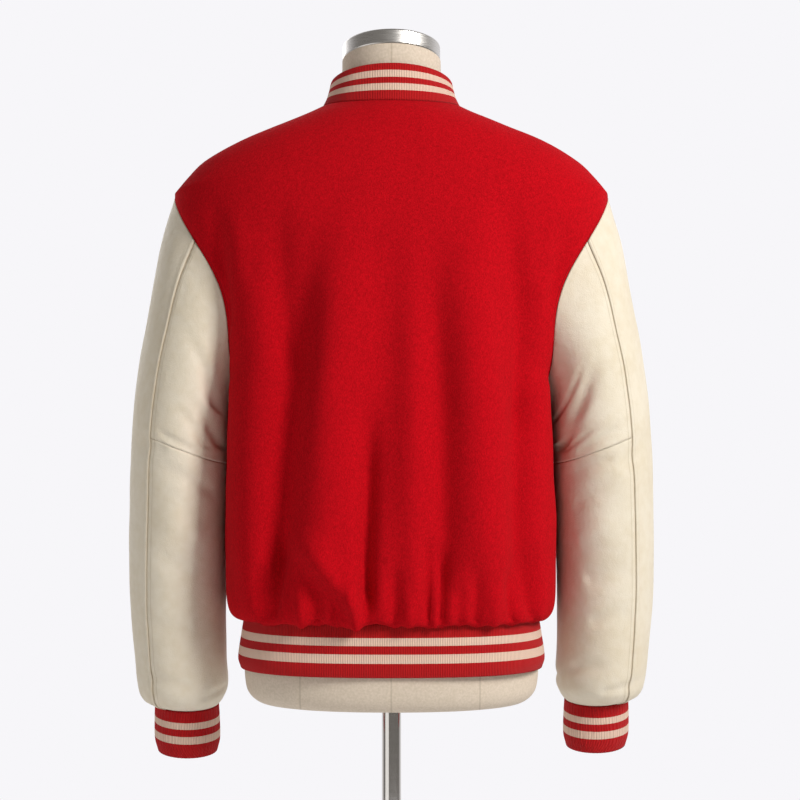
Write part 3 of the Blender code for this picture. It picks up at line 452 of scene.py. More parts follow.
# ---------------------------------------------------------------- sleeves
def sleeve_surface(hand):
    """Surface function of a sleeve: angle 0 is the outer side, a quarter turn is the back."""
    lift = RIGHT_CUFF_LIFT if hand == RIGHT else 0.0

    def place(angle, row):
        here = read(SLEEVE, row)
        rise = (1.0 + cos(angle)) / 2.0
        x = mix(here.inner_x, here.outer_x, rise) - here.bow * sin(pi * rise) ** 2
        reach = here.depth * sin(angle)
        z = mix(here.inner_z, here.outer_z, rise) - here.lean * reach
        z += lift * ease((row - UNDERARM_ROW) / (1.0 - UNDERARM_ROW))
        return Vector((hand * x, here.middle_y + reach, z))

    return place


def cuff_surface(hand):
    """Surface function of a rib cuff, on from the sleeve's last row."""
    sleeve = sleeve_surface(hand)
    middle = (sleeve(0.0, 1.0) + sleeve(pi, 1.0)) / 2.0

    def place(angle, row):
        here = read(CUFF, row)
        rim = sleeve(angle, 1.0) - middle
        spread = 1.0 + here.grow / rim.length
        return middle + rim * spread + Vector((0.0, here.shift_y, -here.drop))

    return place


# ---------------------------------------------------------------- rib hem and collar
def hem_point(angle, row):
    here = read(HEM_RIB, row)
    across, along = squircle(angle, HEM_SQUARE)
    depth = here.back if along > 0.0 else here.front
    return Vector((here.half_width * across, depth * along, here.height))


def collar_point(angle, row):
    """The collar: angle 0 is the left side of the neck, a quarter turn is the back."""
    from_front = abs((angle - 1.5 * pi + pi) % (2 * pi) - pi)
    height = mix(COLLAR_END_HEIGHT, 1.0, sin(pi / 2 * min(from_front / COLLAR_ROUNDING, 1.0)))
    here = read(COLLAR, row * height)
    along = sin(angle)
    if along > 0.0:
        return Vector((here.half_width * cos(angle), here.back * along,
                       mix(here.side_z, here.back_z, along)))
    return Vector((here.half_width * cos(angle), here.front * along,
                   mix(here.side_z, here.front_z, (-along) ** 1.5)))


# ---------------------------------------------------------------- normals
def surface_normal(place, across, along):
    side = place(across + STEP, along) - place(across - STEP, along)
    up = place(across, along + STEP) - place(across, along - STEP)
    return side.cross(up).normalized()


def outward(place, across, along, centre):
    """The surface's normal, turned to point away from a centre."""
    normal = surface_normal(place, across, along)
    return normal if normal.dot(place(across, along) - centre) > 0.0 else -normal


def half_gap(place, across, along, side, up):
    """How far a parameter moves in half a seam gap; side or up says which one."""
    move = place(across + side * STEP, along + up * STEP) - place(across, along)
    return GAP / 2 * STEP / move.length


def hem_angle(across):
    """Angle round the hem: both ends run past the centre front."""
    past = OVERLAP / HEM_RIB[1].half_width
    return mix(1.5 * pi + past, -pi / 2 - past, across)


# ---------------------------------------------------------------- creases
def crease_rise(x, z, creases):
    """How far the creases lift the cloth at a place on it."""
    total = 0.0
    for crease in creases:
        run_x = crease.end_x - crease.start_x
        run_z = crease.end_z - crease.start_z
        length = hypot(run_x, run_z)
        off_x, off_z = x - crease.start_x, z - crease.start_z
        along = (off_x * run_x + off_z * run_z) / length ** 2
        if not 0.0 < along < 1.0:
            continue
        aside = (off_z * run_x - off_x * run_z) / length - crease.bend * 4 * along * (1 - along)
        fade = ease(along / CREASE_FADE_IN) * ease((1.0 - along) / CREASE_FADE_OUT)
        width = crease.half_width * mix(CREASE_SPREAD, 1.0, along)
        total += crease.rise * fade * exp(-(aside / width) ** 2)
    return total


def slow_wave(point, size, reach):
    """Unevenness with no pattern to it."""
    return reach * noise.noise(point / size)


def body_surface(face, hand):
    """Surface of one side of the body, with its creases; share 0 is the centre."""
    creases = BACK_CREASES if face == BACK else FRONT_CREASES

    def place(share, row):
        point = plain_body(row, share, face)
        normal = surface_normal(lambda s, r: plain_body(r, s, face), share, row)
        if normal.dot((point.x, point.y, 0.0)) < 0.0:
            normal = -normal
        point.x *= hand
        normal.x *= hand
        rise = crease_rise(point.x, point.z, creases)
        rise += slow_wave(point, MELTON_WAVE_LENGTH, MELTON_WAVE)
        if face == FRONT:
            rise *= ease((abs(point.x) - SNAP_CLEAR) / SNAP_CLEAR_FADE)
        settle = ease(row / SEAM_SETTLE) * ease((1.0 - row) / EDGE_FADE)
        edge_fade = ease((1.0 - abs(share)) / EDGE_FADE)
        point += normal * rise * settle * edge_fade
        low = exp(-((row - HEM_SAG_ROW) / HEM_SAG_ROW) ** 2) * edge_fade * ease(row / 0.02)
        point.z += HEM_SAG * noise.noise(Vector((point.x / HEM_SAG_LENGTH, face, 0.0))) * low
        return point

    return place


def creased_sleeve(hand):
    """Surface of a sleeve with its creases."""
    plain = sleeve_surface(hand)
    table = LEFT_SLEEVE_CREASES if hand == LEFT else RIGHT_SLEEVE_CREASES
    creases = [
        Crease(radians(c.start_turn) * SLEEVE_REACH, -c.start_row * SLEEVE_LENGTH,
               radians(c.end_turn) * SLEEVE_REACH, -c.end_row * SLEEVE_LENGTH,
               c.bend, c.half_width, c.rise)
        for c in table
    ]

    def place(angle, row):
        point = plain(angle, row)
        middle = (plain(0.0, row) + plain(pi, row)) / 2.0
        normal = outward(plain, angle, row, middle)
        turn = angle if angle < 1.25 * pi else angle - 2 * pi
        rise = crease_rise(turn * SLEEVE_REACH, -row * SLEEVE_LENGTH, creases)
        rise += slow_wave(point, LEATHER_WAVE_LENGTH, LEATHER_WAVE)
        return point + normal * rise * ease(row / SLEEVE_FADE_TOP) * ease((1.0 - row) / SLEEVE_FADE_END)

    return place


# ---------------------------------------------------------------- mesh makers
def finished(name, bm, finish):
    """An object of a worked mesh, smooth, in one finish."""
    mesh = bpy.data.meshes.new(name)
    bm.to_mesh(mesh)
    bm.free()
    mesh.materials.append(finish)
    mesh.shade_smooth()
    made = bpy.data.objects.new(name, mesh)
    bpy.context.scene.collection.objects.link(made)
    return made


def finished_solid(name, bm, finish):
    """The same of a closed mesh, facing outwards, with its corners kept sharp."""
    bmesh.ops.recalc_face_normals(bm, faces=bm.faces)
    if bm.calc_volume(signed=True) < 0.0:
        bmesh.ops.reverse_faces(bm, faces=bm.faces[:])
    made = finished(name, bm, finish)
    made.data.set_sharp_from_angle(angle=SHARP_FROM)
    return made


def shell(name, place, columns, rows, thickness, centre, finish, closed=False, proud=None):
    """A thin shell on a surface: place takes shares across and along, and centre lies inside.

    It keeps its lay-flat sizes as a UV map, and each point's distance from its side edges.
    """
    bm = bmesh.new()
    bmesh.ops.create_grid(bm, x_segments=columns, y_segments=rows, size=0.5,
                          matrix=Matrix.Translation((0.5, 0.5, 0.0)))
    share = bm.verts.layers.float.new("share")
    side = bm.verts.layers.float.new("side_seam")
    cloth = bm.loops.layers.uv.new("cloth")
    grid = {}
    for vert in bm.verts:
        grid[round(vert.co.x * columns), round(vert.co.y * rows)] = vert
    for (i, j), vert in grid.items():
        vert[share] = j / rows
        vert.co = place(i / columns, j / rows)
    flat = {}
    for j in range(rows + 1):
        across = [0.0]
        for i in range(columns):
            across.append(across[-1] + (grid[i + 1, j].co - grid[i, j].co).length)
        for i in range(columns + 1):
            flat[i, j] = [across[i] - across[-1] / 2, 0.0]
            grid[i, j][side] = min(across[i], across[-1] - across[i])
    for i in range(columns + 1):
        up = [0.0]
        for j in range(rows):
            up.append(up[-1] + (grid[i, j + 1].co - grid[i, j].co).length)
        for j in range(rows + 1):
            flat[i, j][1] = up[j]
    place_of = {vert: key for key, vert in grid.items()}
    for face in bm.faces:
        for loop in face.loops:
            loop[cloth].uv = flat[place_of[loop.vert]]
    if closed:
        bmesh.ops.remove_doubles(bm, verts=bm.verts[:], dist=GAP / 10)
    bm.normal_update()
    facing = 0.0
    for face in bm.faces:
        middle = face.calc_center_median()
        facing += face.calc_area() * face.normal.dot(middle - centre(middle))
    if facing < 0.0:
        bmesh.ops.reverse_faces(bm, faces=bm.faces[:])
        bm.normal_update()
    if proud is not None:
        lifts = {vert: vert.normal * proud(vert[side]) for vert in bm.verts}
        for vert, lift in lifts.items():
            vert.co += lift
    made = finished(name, bm, finish)
    wall = made.modifiers.new("wall", "SOLIDIFY")
    wall.thickness = thickness
    wall.offset = -1.0
    wall.use_even_offset = False
    return made


def turned(name, profile, segments, finish, bevel):
    """A solid turned round +Z from a profile of radius and height, with eased edges."""
    bm = bmesh.new()
    points = [bm.verts.new((radius, 0.0, height)) for radius, height in profile]
    edges = [bm.edges.new(pair) for pair in zip(points, points[1:])]
    bmesh.ops.spin(bm, geom=points + edges, cent=(0, 0, 0), axis=(0, 0, 1),
                   angle=2 * pi, steps=segments, use_merge=True)
    bmesh.ops.remove_doubles(bm, verts=bm.verts[:], dist=GAP / 10)
    made = finished_solid(name, bm, finish)
    if bevel:
        eased = made.modifiers.new("eased_edges", "BEVEL")
        eased.width = bevel
        eased.segments = 3
        eased.limit_method = "ANGLE"
        eased.harden_normals = False
    return made


# ---------------------------------------------------------------- materials
def linear(code):
    """An sRGB colour code as linear red, green, blue and alpha."""
    parts = [int(code[i:i + 2], 16) / 255 for i in (0, 2, 4)]
    return tuple(p / 12.92 if p <= 0.04045 else ((p + 0.055) / 1.055) ** 2.4 for p in parts) + (1.0,)


def add(tree, kind, inputs=(), **settings):
    """Adds a node; its inputs, in order or by name, are numbers, colours or other nodes' outputs."""
    made = tree.nodes.new("ShaderNode" + kind)
    for name, value in settings.items():
        setattr(made, name, value)
    for name, value in inputs.items() if isinstance(inputs, dict) else enumerate(inputs):
        if isinstance(value, bpy.types.NodeSocket):
            tree.links.new(value, made.inputs[name])
        else:
            made.inputs[name].default_value = value
    return made


def new_material(name, **values):
    """A material with its shader's constant values set, its tree and its shader."""
    made = bpy.data.materials.new(name)
    made.use_nodes = True
    shader = made.node_tree.nodes["Principled BSDF"]
    for key, value in values.items():
        shader.inputs[key.replace("_", " ")].default_value = value
    return made, made.node_tree, shader


def stitches(tree, inset, share):
    """A line of stitching at a distance from a side edge: 1 on the thread, and a share of that."""
    edge = add(tree, "Attribute", attribute_name="side_seam").outputs["Fac"]
    offset = add(tree, "Math", (edge, inset), operation="SUBTRACT").outputs[0]
    aside = add(tree, "Math", (offset,), operation="ABSOLUTE").outputs[0]
    thread = add(tree, "Math", (aside, STITCH_HALF), operation="LESS_THAN").outputs[0]
    return thread, add(tree, "Math", (thread, share), operation="MULTIPLY").outputs[0]


def melton_wool(name):
    """Red melton wool: short brushed nap lying aslant, soft mottling and a faint halo of fibre."""
    made, tree, shader = new_material(name, Roughness=1.0, Sheen_Weight=0.07, Sheen_Roughness=0.4,
                                      Sheen_Tint=linear(MELTON_SHEEN), Specular_IOR_Level=0.1)
    place = add(tree, "TexCoord").outputs["Object"]
    aslant = add(tree, "Mapping", {"Vector": place, "Rotation": NAP_LIE, "Scale": NAP}).outputs[0]
    nap = add(tree, "TexNoise", {"Vector": aslant, "Scale": 1.0, "Detail": 3.0}).outputs[0]
    mottle = add(tree, "TexNoise", {"Vector": place, "Scale": MOTTLE, "Detail": 4.0}).outputs[0]
    fuzz = add(tree, "TexNoise", {"Vector": place, "Scale": FUZZ, "Detail": 2.0}).outputs[0]
    tufts = add(tree, "Math", (nap, 0.80), operation="MULTIPLY").outputs[0]
    shade = add(tree, "Math", (mottle, 0.30, tufts), operation="MULTIPLY_ADD").outputs[0]
    depth = add(tree, "MapRange", (shade, 0.38, 0.74, 0.0, 1.0)).outputs[0]
    red = add(tree, "Mix", {0: depth, 6: linear(MELTON_DARK), 7: linear(MELTON_RED)}, data_type="RGBA")
    thread, sewn = stitches(tree, STITCH_IN, 0.55)
    colour = add(tree, "Mix", {0: sewn, 6: red.outputs[2], 7: linear(MELTON_THREAD)}, data_type="RGBA")
    tree.links.new(colour.outputs[2], shader.inputs["Base Color"])
    hairs = add(tree, "Math", (fuzz, 0.4), operation="MULTIPLY").outputs[0]
    height = add(tree, "Math", (nap, 0.6, hairs), operation="MULTIPLY_ADD").outputs[0]
    height = add(tree, "Math", (thread, -0.8, height), operation="MULTIPLY_ADD").outputs[0]
    bump = add(tree, "Bump", {"Height": height, "Strength": 0.5, "Distance": 0.0006})
    tree.links.new(bump.outputs[0], shader.inputs["Normal"])
    return made


def sleeve_leather(name):
    """Cream cowhide, semi-gloss: fine pebbled grain, cloudy toning, and painted shade darkening it right at
    the seams.
    """
    made, tree, shader = new_material(name, Roughness=0.58, Specular_IOR_Level=0.32)
    place = add(tree, "TexCoord").outputs["Object"]
    grain = add(tree, "TexVoronoi", {"Vector": place, "Scale": HIDE_GRAIN}).outputs["Distance"]
    crinkle = add(tree, "TexNoise", {"Vector": place, "Scale": HIDE_CRINKLE, "Detail": 6.0}).outputs[0]
    patch = add(tree, "TexNoise", {"Vector": place, "Scale": HIDE_PATCH, "Detail": 3.0}).outputs[0]
    clouds = add(tree, "Math", (patch, 0.5), operation="MULTIPLY").outputs[0]
    blotch = add(tree, "Math", (crinkle, 0.5, clouds), operation="MULTIPLY_ADD").outputs[0]
    worn = add(tree, "MapRange", (blotch, 0.40, 0.66, 0.0, 0.42)).outputs[0]
    hide = add(tree, "Mix", {0: worn, 6: linear(LEATHER_CREAM), 7: linear(LEATHER_WORN)}, data_type="RGBA")
    # painted shade: the hide is darkened within 1.2 mm of its side edges, where the seams are
    edge = add(tree, "Attribute", attribute_name="side_seam").outputs["Fac"]
    seam_shade = add(tree, "MapRange", (edge, 0.0, 0.0012, 0.35, 0.0)).outputs[0]
    seam_shaded = add(tree, "Mix", {0: seam_shade, 6: hide.outputs[2], 7: linear(LEATHER_SEAM_SHADE)}, data_type="RGBA")
    thread, sewn = stitches(tree, LAP_WIDTH - 0.001, 0.28)
    colour = add(tree, "Mix", {0: sewn, 6: seam_shaded.outputs[2], 7: linear(LEATHER_THREAD)}, data_type="RGBA")
    tree.links.new(colour.outputs[2], shader.inputs["Base Color"])
    pebbles = add(tree, "Math", (grain, 0.22), operation="MULTIPLY").outputs[0]
    height = add(tree, "Math", (crinkle, 0.8, pebbles), operation="MULTIPLY_ADD").outputs[0]
    height = add(tree, "Math", (thread, -0.35, height), operation="MULTIPLY_ADD").outputs[0]
    bump = add(tree, "Bump", {"Height": height, "Strength": 0.7, "Distance": 0.0014})
    tree.links.new(bump.outputs[0], shader.inputs["Normal"])
    return made


def rib_knit(name, bands):
    """Acrylic rib knit, soft: upright ribs, with cream stripes knitted into the red, and painted shade in
    the furrows between them.
    """
    made, tree, shader = new_material(name, Roughness=0.95, Sheen_Weight=0.05, Sheen_Roughness=0.5,
                                      Specular_IOR_Level=0.2)
    height_share = add(tree, "Attribute", attribute_name="share").outputs["Fac"]
    ramp = add(tree, "ValToRGB", {"Fac": height_share})
    ramp.color_ramp.interpolation = "CONSTANT"
    stops = ramp.color_ramp.elements
    while len(stops) < len(bands):
        stops.new(0.5)
    for index, (stop, begins) in enumerate(zip(stops, bands)):
        stop.position = begins
        stop.color = linear(RIB_CREAM if index % 2 else RIB_RED)
    flat = add(tree, "UVMap", uv_map="cloth").outputs[0]
    across, along, _ = add(tree, "SeparateXYZ", (flat,)).outputs
    turns = add(tree, "Math", (across, 2 * pi / RIB_PITCH), operation="MULTIPLY").outputs[0]
    rib = add(tree, "Math", (turns,), operation="SINE").outputs[0]
    turns = add(tree, "Math", (along, 2 * pi / COURSE_PITCH), operation="MULTIPLY").outputs[0]
    course = add(tree, "Math", (turns,), operation="SINE").outputs[0]
    # painted shade: the base colour is darkened in the furrows between the ribs
    furrow_shade = add(tree, "MapRange", (rib, -1.0, 0.2, 0.42, 0.0)).outputs[0]
    colour = add(tree, "Mix", {0: furrow_shade, 6: ramp.outputs[0], 7: RIB_FURROW_SHADE},
                 data_type="RGBA", blend_type="MULTIPLY")
    tree.links.new(colour.outputs[2], shader.inputs["Base Color"])
    height = add(tree, "Math", (course, 0.2, rib), operation="MULTIPLY_ADD").outputs[0]
    bump = add(tree, "Bump", {"Height": height, "Strength": 0.7, "Distance": 0.0005})
    tree.links.new(bump.outputs[0], shader.inputs["Normal"])
    return made


def linen_cover(name):
    """Undyed linen, stretched: plain weave with slubs, and its upright panel seams."""
    made, tree, shader = new_material(name, Roughness=0.85, Sheen_Weight=0.08, Specular_IOR_Level=0.25)
    place = add(tree, "TexCoord").outputs["Object"]
    across, _, upright = add(tree, "SeparateXYZ", (place,)).outputs
    slub = add(tree, "TexNoise", {"Vector": place, "Scale": SLUB, "Detail": 3.0}).outputs[0]
    tint = add(tree, "MapRange", (slub, 0.35, 0.7, 0.0, 1.0)).outputs[0]
    cover = add(tree, "Mix", {0: tint, 6: linear(LINEN_DARK), 7: linear(LINEN)}, data_type="RGBA")
    for seam_x in FORM_SEAMS:
        offset = add(tree, "Math", (across, seam_x), operation="SUBTRACT").outputs[0]
        aside = add(tree, "Math", (offset,), operation="ABSOLUTE").outputs[0]
        line = add(tree, "Math", (aside, FORM_SEAM_HALF), operation="LESS_THAN").outputs[0]
        faint = add(tree, "Math", (line, 0.35), operation="MULTIPLY").outputs[0]
        cover = add(tree, "Mix", {0: faint, 6: cover.outputs[2], 7: linear(LINEN_SEAM)}, data_type="RGBA")
    tree.links.new(cover.outputs[2], shader.inputs["Base Color"])
    threads = []
    for way in (across, upright):
        turns = add(tree, "Math", (way, 2 * pi / THREAD_PITCH), operation="MULTIPLY").outputs[0]
        threads.append(add(tree, "Math", (turns,), operation="SINE").outputs[0])
    height = add(tree, "Math", threads, operation="ADD").outputs[0]
    bump = add(tree, "Bump", {"Height": height, "Strength": 0.35, "Distance": 0.0002})
    tree.links.new(bump.outputs[0], shader.inputs["Normal"])
    return made


def polished(name, colour, roughness, anisotropy, reflection_share):
    """Steel, brushed or plated: long fine marks from finishing, lightened towards the studio's white as a
    painted reflection, and small changes of polish.
    """
    made, tree, shader = new_material(name, Metallic=1.0, Anisotropic=anisotropy)
    place = add(tree, "TexCoord").outputs["Object"]
    drawn = add(tree, "Mapping", {"Vector": place, "Scale": FINISHING_MARKS}).outputs[0]
    marks = add(tree, "TexNoise", {"Vector": drawn, "Scale": 1.0, "Detail": 4.0}).outputs[0]
    rough = add(tree, "MapRange", (marks, 0.3, 0.7, roughness * 0.8, roughness * 1.25)).outputs[0]
    tree.links.new(rough, shader.inputs["Roughness"])
    steel = linear(colour)
    # painted reflection: the finishing marks are tinted with the studio's white, by the share given
    studio_reflection = add(tree, "Mix", {0: marks, 6: steel, 7: linear(STUDIO)}, data_type="RGBA").outputs[2]
    reflected_steel = add(tree, "Mix", {0: reflection_share, 6: steel, 7: studio_reflection}, data_type="RGBA").outputs[2]
    tree.links.new(reflected_steel, shader.inputs["Base Color"])
    bump = add(tree, "Bump", {"Height": marks, "Strength": 0.12, "Distance": 0.0001})
    tree.links.new(bump.outputs[0], shader.inputs["Normal"])
    return made


# ---------------------------------------------------------------- cloth pieces
def body_centre(point):
    return Vector((0.0, 0.0, point.z))


def body_panel(name, face, hand, columns, rows, finish):
    """The back, or a front that runs past the centre."""
    surfaces = {LEFT: body_surface(face, LEFT), RIGHT: body_surface(face, RIGHT)}
    plain = surfaces[LEFT]
    low = half_gap(plain, 0.5, 0.0, 0, 1)
    high = 1.0 - half_gap(plain, 0.5, 1.0, 0, -1)
    edges = {}

    def edge_at(row):
        if row not in edges:
            past = atan(OVERLAP / section(row, FRONT).half_width) / (pi / 2)
            edges[row] = (1.0 - half_gap(plain, 1.0, row, -1, 0), past)
        return edges[row]

    def place(across, along):
        row = mix(low, high, along)
        near_edge, past = edge_at(row)
        share = mix(-near_edge, near_edge, across) if face == BACK else mix(-past, near_edge, across)
        side = (LEFT if share >= 0.0 else RIGHT) if face == BACK else hand
        point = surfaces[side](abs(share) if face == BACK else share, row)
        if face == FRONT and hand == LEFT:
            climb = ease((OVERLAP + 2 * LAP_RISE - point.x) / LAP_RISE)
            point += Vector((0.0, -1.0, 0.0)) * (WOOL + GAP) * climb
        return point

    def proud(side):
        return -STITCH_DIP * exp(-((side - STITCH_IN) / (2 * STITCH_HALF)) ** 2)

    return shell(name, place, columns, rows, WOOL, body_centre, finish, proud=proud)


def sleeve_panel(name, hand, span, row_span, columns, rows, finish, lapped):
    """Part of a sleeve between two seams; a lapped one stands proud along its seams."""
    surface = creased_sleeve(hand)
    plain = sleeve_surface(hand)

    def place(across, along):
        row = mix(*row_span, along)
        begin, end = span(read(SLEEVE_SEAMS, row))
        edge = half_gap(plain, begin, row, 1, 0)
        angle = mix(begin + edge, end - edge, across)
        row = min(max(row, 0.0012), 0.9994)
        return surface(angle, row)

    def centre(point):
        row = min(max((1.22 - point.z) / 0.47, 0.0), 1.0)
        return (plain(0.0, row) + plain(pi, row)) / 2.0 * 0.999

    def proud(side):
        rise = LAP_HEIGHT * ease((LAP_WIDTH - side) / 0.0022)
        dip = -STITCH_DIP * exp(-((side - LAP_WIDTH) / 0.0012) ** 2)
        return (rise + dip) if lapped else 0.3 * dip

    return shell(name, place, columns, rows, LEATHER, centre, finish, proud=proud)


def rib_cuff(name, hand, finish):
    surface = cuff_surface(hand)
    plain = sleeve_surface(hand)
    middle = (plain(0.0, 1.0) + plain(pi, 1.0)) / 2.0
    columns = 192

    def place(across, along):
        point = surface(2 * pi * across, mix(GAP / CUFF[-1].drop, 1.0, along))
        away = (point - middle)
        away.z = 0.0
        return point + away.normalized() * 0.00025 * sin(2 * pi * across * columns / 4)

    return shell(name, place, columns, 24, RIB, lambda point: Vector((middle.x, middle.y, point.z)),
                 finish, closed=True)


def rib_collar(finish):
    end_angle = NECK_GAP / COLLAR[0].half_width

    def place(across, along):
        angle = mix(-pi / 2 + end_angle, 1.5 * pi - end_angle, across)
        return collar_point(angle, mix(4 * half_gap(collar_point, angle, 0.0, 0, 1), 1.0, along))

    return shell("rib_collar", place, 240, 26, RIB, lambda point: Vector((0.0, 0.0, 1.40)), finish)


def rib_hem(finish):
    def place(across, along):
        angle = hem_angle(across)
        point = hem_point(angle, mix(GAP / (HEM_SEAM_Z - HEM_BOTTOM_Z), 1.0, along))
        if angle < 0.0:
            climb = ease((OVERLAP + 2 * LAP_RISE - point.x) / LAP_RISE)
            point += Vector((0.0, -1.0, 0.0)) * (RIB + GAP) * climb
        return point

    return shell("rib_hem", place, 420, 24, RIB, lambda point: Vector((0.0, 0.0, point.z)), finish)


# ---------------------------------------------------------------- form and stand
FormStep = namedtuple("FormStep", "row half_width back front side_z back_z front_z square power")
FORM_STEPS = [FormStep(index / (len(FORM) - 1), *entry) for index, entry in enumerate(FORM)]
FORM_SEAMS = (0.0995, -0.0003, -0.0970)


def form_torso(finish):
    """The form's cover, as finely rounded rings, closed above and below."""
    columns, rows = 160, 110
    bm = bmesh.new()
    bmesh.ops.create_grid(bm, x_segments=columns, y_segments=rows, size=0.5,
                          matrix=Matrix.Translation((0.5, 0.5, 0.0)))
    for vert in bm.verts:
        here = read(FORM_STEPS, vert.co.y)
        across, along = squircle(2 * pi * vert.co.x, here.square)
        if along > 0.0:
            depth, height = here.back, mix(here.side_z, here.back_z, along)
        else:
            depth, height = here.front, mix(here.side_z, here.front_z, (-along) ** here.power)
        vert.co = Vector((here.half_width * across, depth * along, height))
    bmesh.ops.remove_doubles(bm, verts=bm.verts[:], dist=GAP / 10)
    bmesh.ops.holes_fill(bm, edges=bm.edges[:], sides=0)
    return finished_solid("form_torso", bm, finish)


def steel_cap(finish):
    profile = [(0.0, 0.0), (CAP_RADIUS, 0.0), (CAP_RADIUS, CAP_HEIGHT), (0.0, CAP_HEIGHT)]
    made = turned("steel_cap", profile, 160, finish, 0.0022)
    seat = Matrix.Translation((0.0, 0.0, NECK_TOP_Z + GAP))
    made.data.transform(seat @ Matrix.Rotation(NECK_TILT, 4, "X"))
    return made


def steel_pole(finish):
    foot = BASE_HEIGHT + HUB_FLOOR + GAP
    top = FORM_BOTTOM_Z - GAP
    profile = [(0.0, foot), (POLE_RADIUS, foot), (POLE_RADIUS, top), (0.0, top)]
    return turned("steel_pole", profile, 96, finish, 0.0)


def round_base(finish):
    bore = POLE_RADIUS + GAP
    foot = BASE_HEIGHT + HUB_FLOOR
    profile = [(0.0, 0.0), (BASE_RADIUS, 0.0), (BASE_RADIUS, BASE_HEIGHT - BASE_EDGE),
               (BASE_RADIUS - BASE_EDGE, BASE_HEIGHT), (HUB_RADIUS, BASE_HEIGHT),
               (HUB_RADIUS - BASE_EDGE, HUB_HEIGHT), (bore, HUB_HEIGHT), (bore, foot), (0.0, foot)]
    return turned("round_base", profile, 160, finish, 0.0012)


# ---------------------------------------------------------------- studio
def camera():
    data = bpy.data.cameras.new("view_from_behind")
    data.lens = 90.8
    data.sensor_width = 36.0
    made = bpy.data.objects.new("view_from_behind", data)
    made.location = (-0.0097, 2.3, 1.1)
    made.rotation_euler = (pi / 2, 0.0, pi)
    bpy.context.scene.collection.objects.link(made)
    bpy.context.scene.camera = made


def soft_light(name, place, aim, size, power, colour=(1.0, 1.0, 1.0)):
    data = bpy.data.lights.new(name, "AREA")
    data.shape = "RECTANGLE"
    data.size, data.size_y = size
    data.energy = power
    data.color = colour
    made = bpy.data.objects.new(name, data)
    made.location = place
    made.rotation_euler = (Vector(aim) - Vector(place)).to_track_quat("-Z", "Y").to_euler()
    bpy.context.scene.collection.objects.link(made)


def studio():
    """Pale floor and even studio light, brighter from the jacket's right."""
    bm = bmesh.new()
    bmesh.ops.create_circle(bm, cap_ends=True, segments=128, radius=FLOOR_RADIUS)
    mesh = bpy.data.meshes.new("studio_floor")
    bm.to_mesh(mesh)
    bm.free()
    paint = new_material("matte_white_paint", Roughness=0.9, Base_Color=linear(FLOOR_WHITE))[0]
    mesh.materials.append(paint)
    floor = bpy.data.objects.new("studio_floor", mesh)
    floor.location.z = -0.0005
    bpy.context.scene.collection.objects.link(floor)
    bpy.context.scene.view_settings.view_transform = "Standard"
    studio_air()
    soft_light("key_right", (-1.9, 1.75, 2.5), (0.0, 0.0, 1.25), (0.7, 1.1), KEY_POWER, (1.0, 0.99, 0.975))
    soft_light("strip_left", (2.0, 1.4, 0.98), (0.0, 0.0, 0.98), (2.0, 1.9), STRIP_POWER)
    soft_light("front_fill", (1.2, -2.4, 1.9), (0.0, 0.0, 1.1), (1.6, 1.6), FILL_POWER)


def studio_air():
    """Light from all round: a white backdrop on one side, a dimmer room on the other."""
    world = bpy.data.worlds.new("studio_air")
    world.use_nodes = True
    tree = world.node_tree
    way = add(tree, "TexCoord").outputs["Generated"]
    depth = add(tree, "SeparateXYZ", (way,)).outputs[1]
    room = add(tree, "MapRange", (depth, -0.75, -0.05, 0.0, 1.0), interpolation_type="SMOOTHSTEP").outputs[0]
    colour = add(tree, "Mix", {0: room, 6: linear(STUDIO), 7: linear(ROOM)}, data_type="RGBA").outputs[2]
    tree.links.new(colour, tree.nodes["Background"].inputs["Color"])
    bpy.context.scene.world = world


# ---------------------------------------------------------------- making it all
def cut_of(piece):
    """The piece laid flat: greatest width, greatest length and area, in metres."""
    flat = [corner.uv for corner in piece.data.uv_layers["cloth"].data]
    width = max(corner.x for corner in flat) - min(corner.x for corner in flat)
    length = max(corner.y for corner in flat)
    area = sum(face.area for face in piece.data.polygons)
    return width, length, min(area, width * length)


def place_piece(piece, slot, *nodes):
    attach(piece, "root")
    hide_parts(*nodes)
    return piece


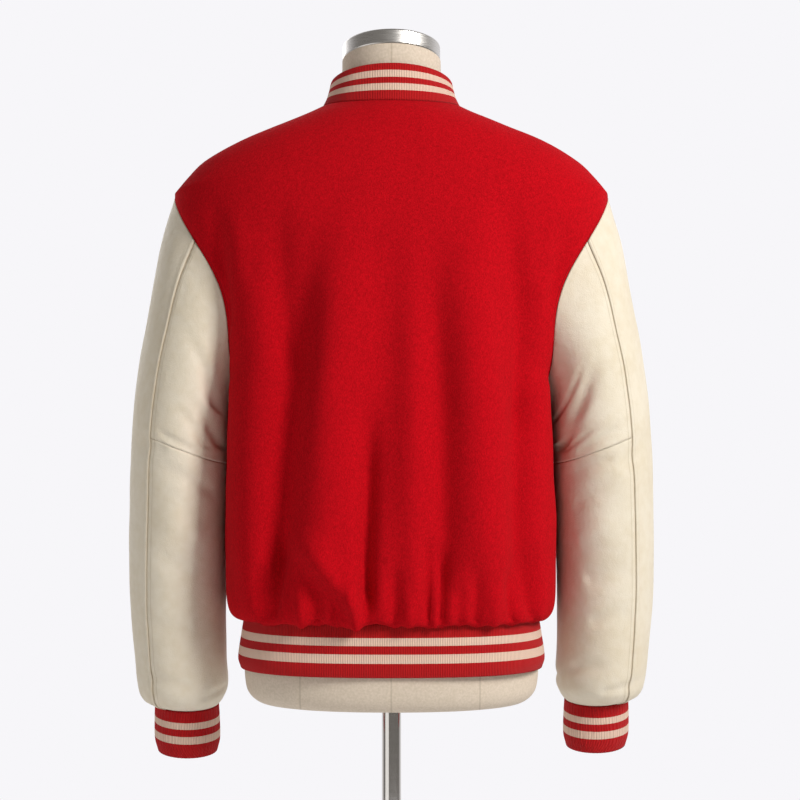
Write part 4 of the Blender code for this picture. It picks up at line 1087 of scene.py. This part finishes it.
def main():
    camera()
    studio()
    wool = melton_wool("melton_wool_brushed")
    cream = sleeve_leather("leather_semi_gloss")
    steel = polished("brushed_steel", STEEL, 0.30, 0.5, 0.3)
    chrome = polished("chrome_polished", CHROME, 0.10, 0.0, 0.1)

    cloth = [place_piece(body_panel("wool_back", BACK, None, 150, 150, wool), "melton", "back")]
    for side, hand in (("left", LEFT), ("right", RIGHT)):
        front = body_panel(f"wool_front_{side}", FRONT, hand, 84, 150, wool)
        cloth.append(place_piece(front, "melton", f"front_{side}"))
        top = sleeve_panel(f"leather_top_{side}", hand, lambda s: (s.front_angle, s.back_angle),
                           (0.0, 1.0), 76, 200, cream, True)
        cloth.append(place_piece(top, "sleeve_leather", f"sleeve_{side}_top"))
        for part, row_span, rows in (("upper", (0.0, ELBOW_ROW - ELBOW_SPLIT), 90),
                                     ("lower", (ELBOW_ROW + ELBOW_SPLIT, 1.0), 110)):
            under = sleeve_panel(f"leather_under_{part}_{side}", hand,
                                 lambda s: (s.back_angle, 2 * pi + s.front_angle), row_span, 76, rows,
                                 cream, False)
            cloth.append(place_piece(under, "sleeve_leather", f"sleeve_{side}_under_{part}"))
        cuff = rib_cuff(f"rib_cuff_{side}", hand, rib_knit(f"rib_knit_cuff_{side}", CUFF_BANDS))
        cloth.append(place_piece(cuff, "rib_knit", f"cuff_{side}"))
    neck = rib_collar(rib_knit("rib_knit_collar", COLLAR_BANDS))
    cloth.append(place_piece(neck, "rib_knit", "collar"))
    hem = rib_hem(rib_knit("rib_knit_hem", HEM_BANDS))
    cloth.append(place_piece(hem, "rib_knit", "hem_rib"))
    for piece in cloth:
        width, length, area = cut_of(piece)

    place_piece(form_torso(linen_cover("linen_stretched")), "form_linen", "dress_form")
    place_piece(steel_cap(steel), "brushed_steel", "neck_cap")
    place_piece(steel_pole(chrome), "chrome", "pole")
    place_piece(round_base(chrome), "chrome", "base")
    snap_steel = polished("snap_cap_satin", STEEL, 0.28, 0.0, 0.2)
    for name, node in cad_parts.items():
        if name.startswith("snap_"):
            for slot in node.material_slots:
                slot.material = snap_steel


main()
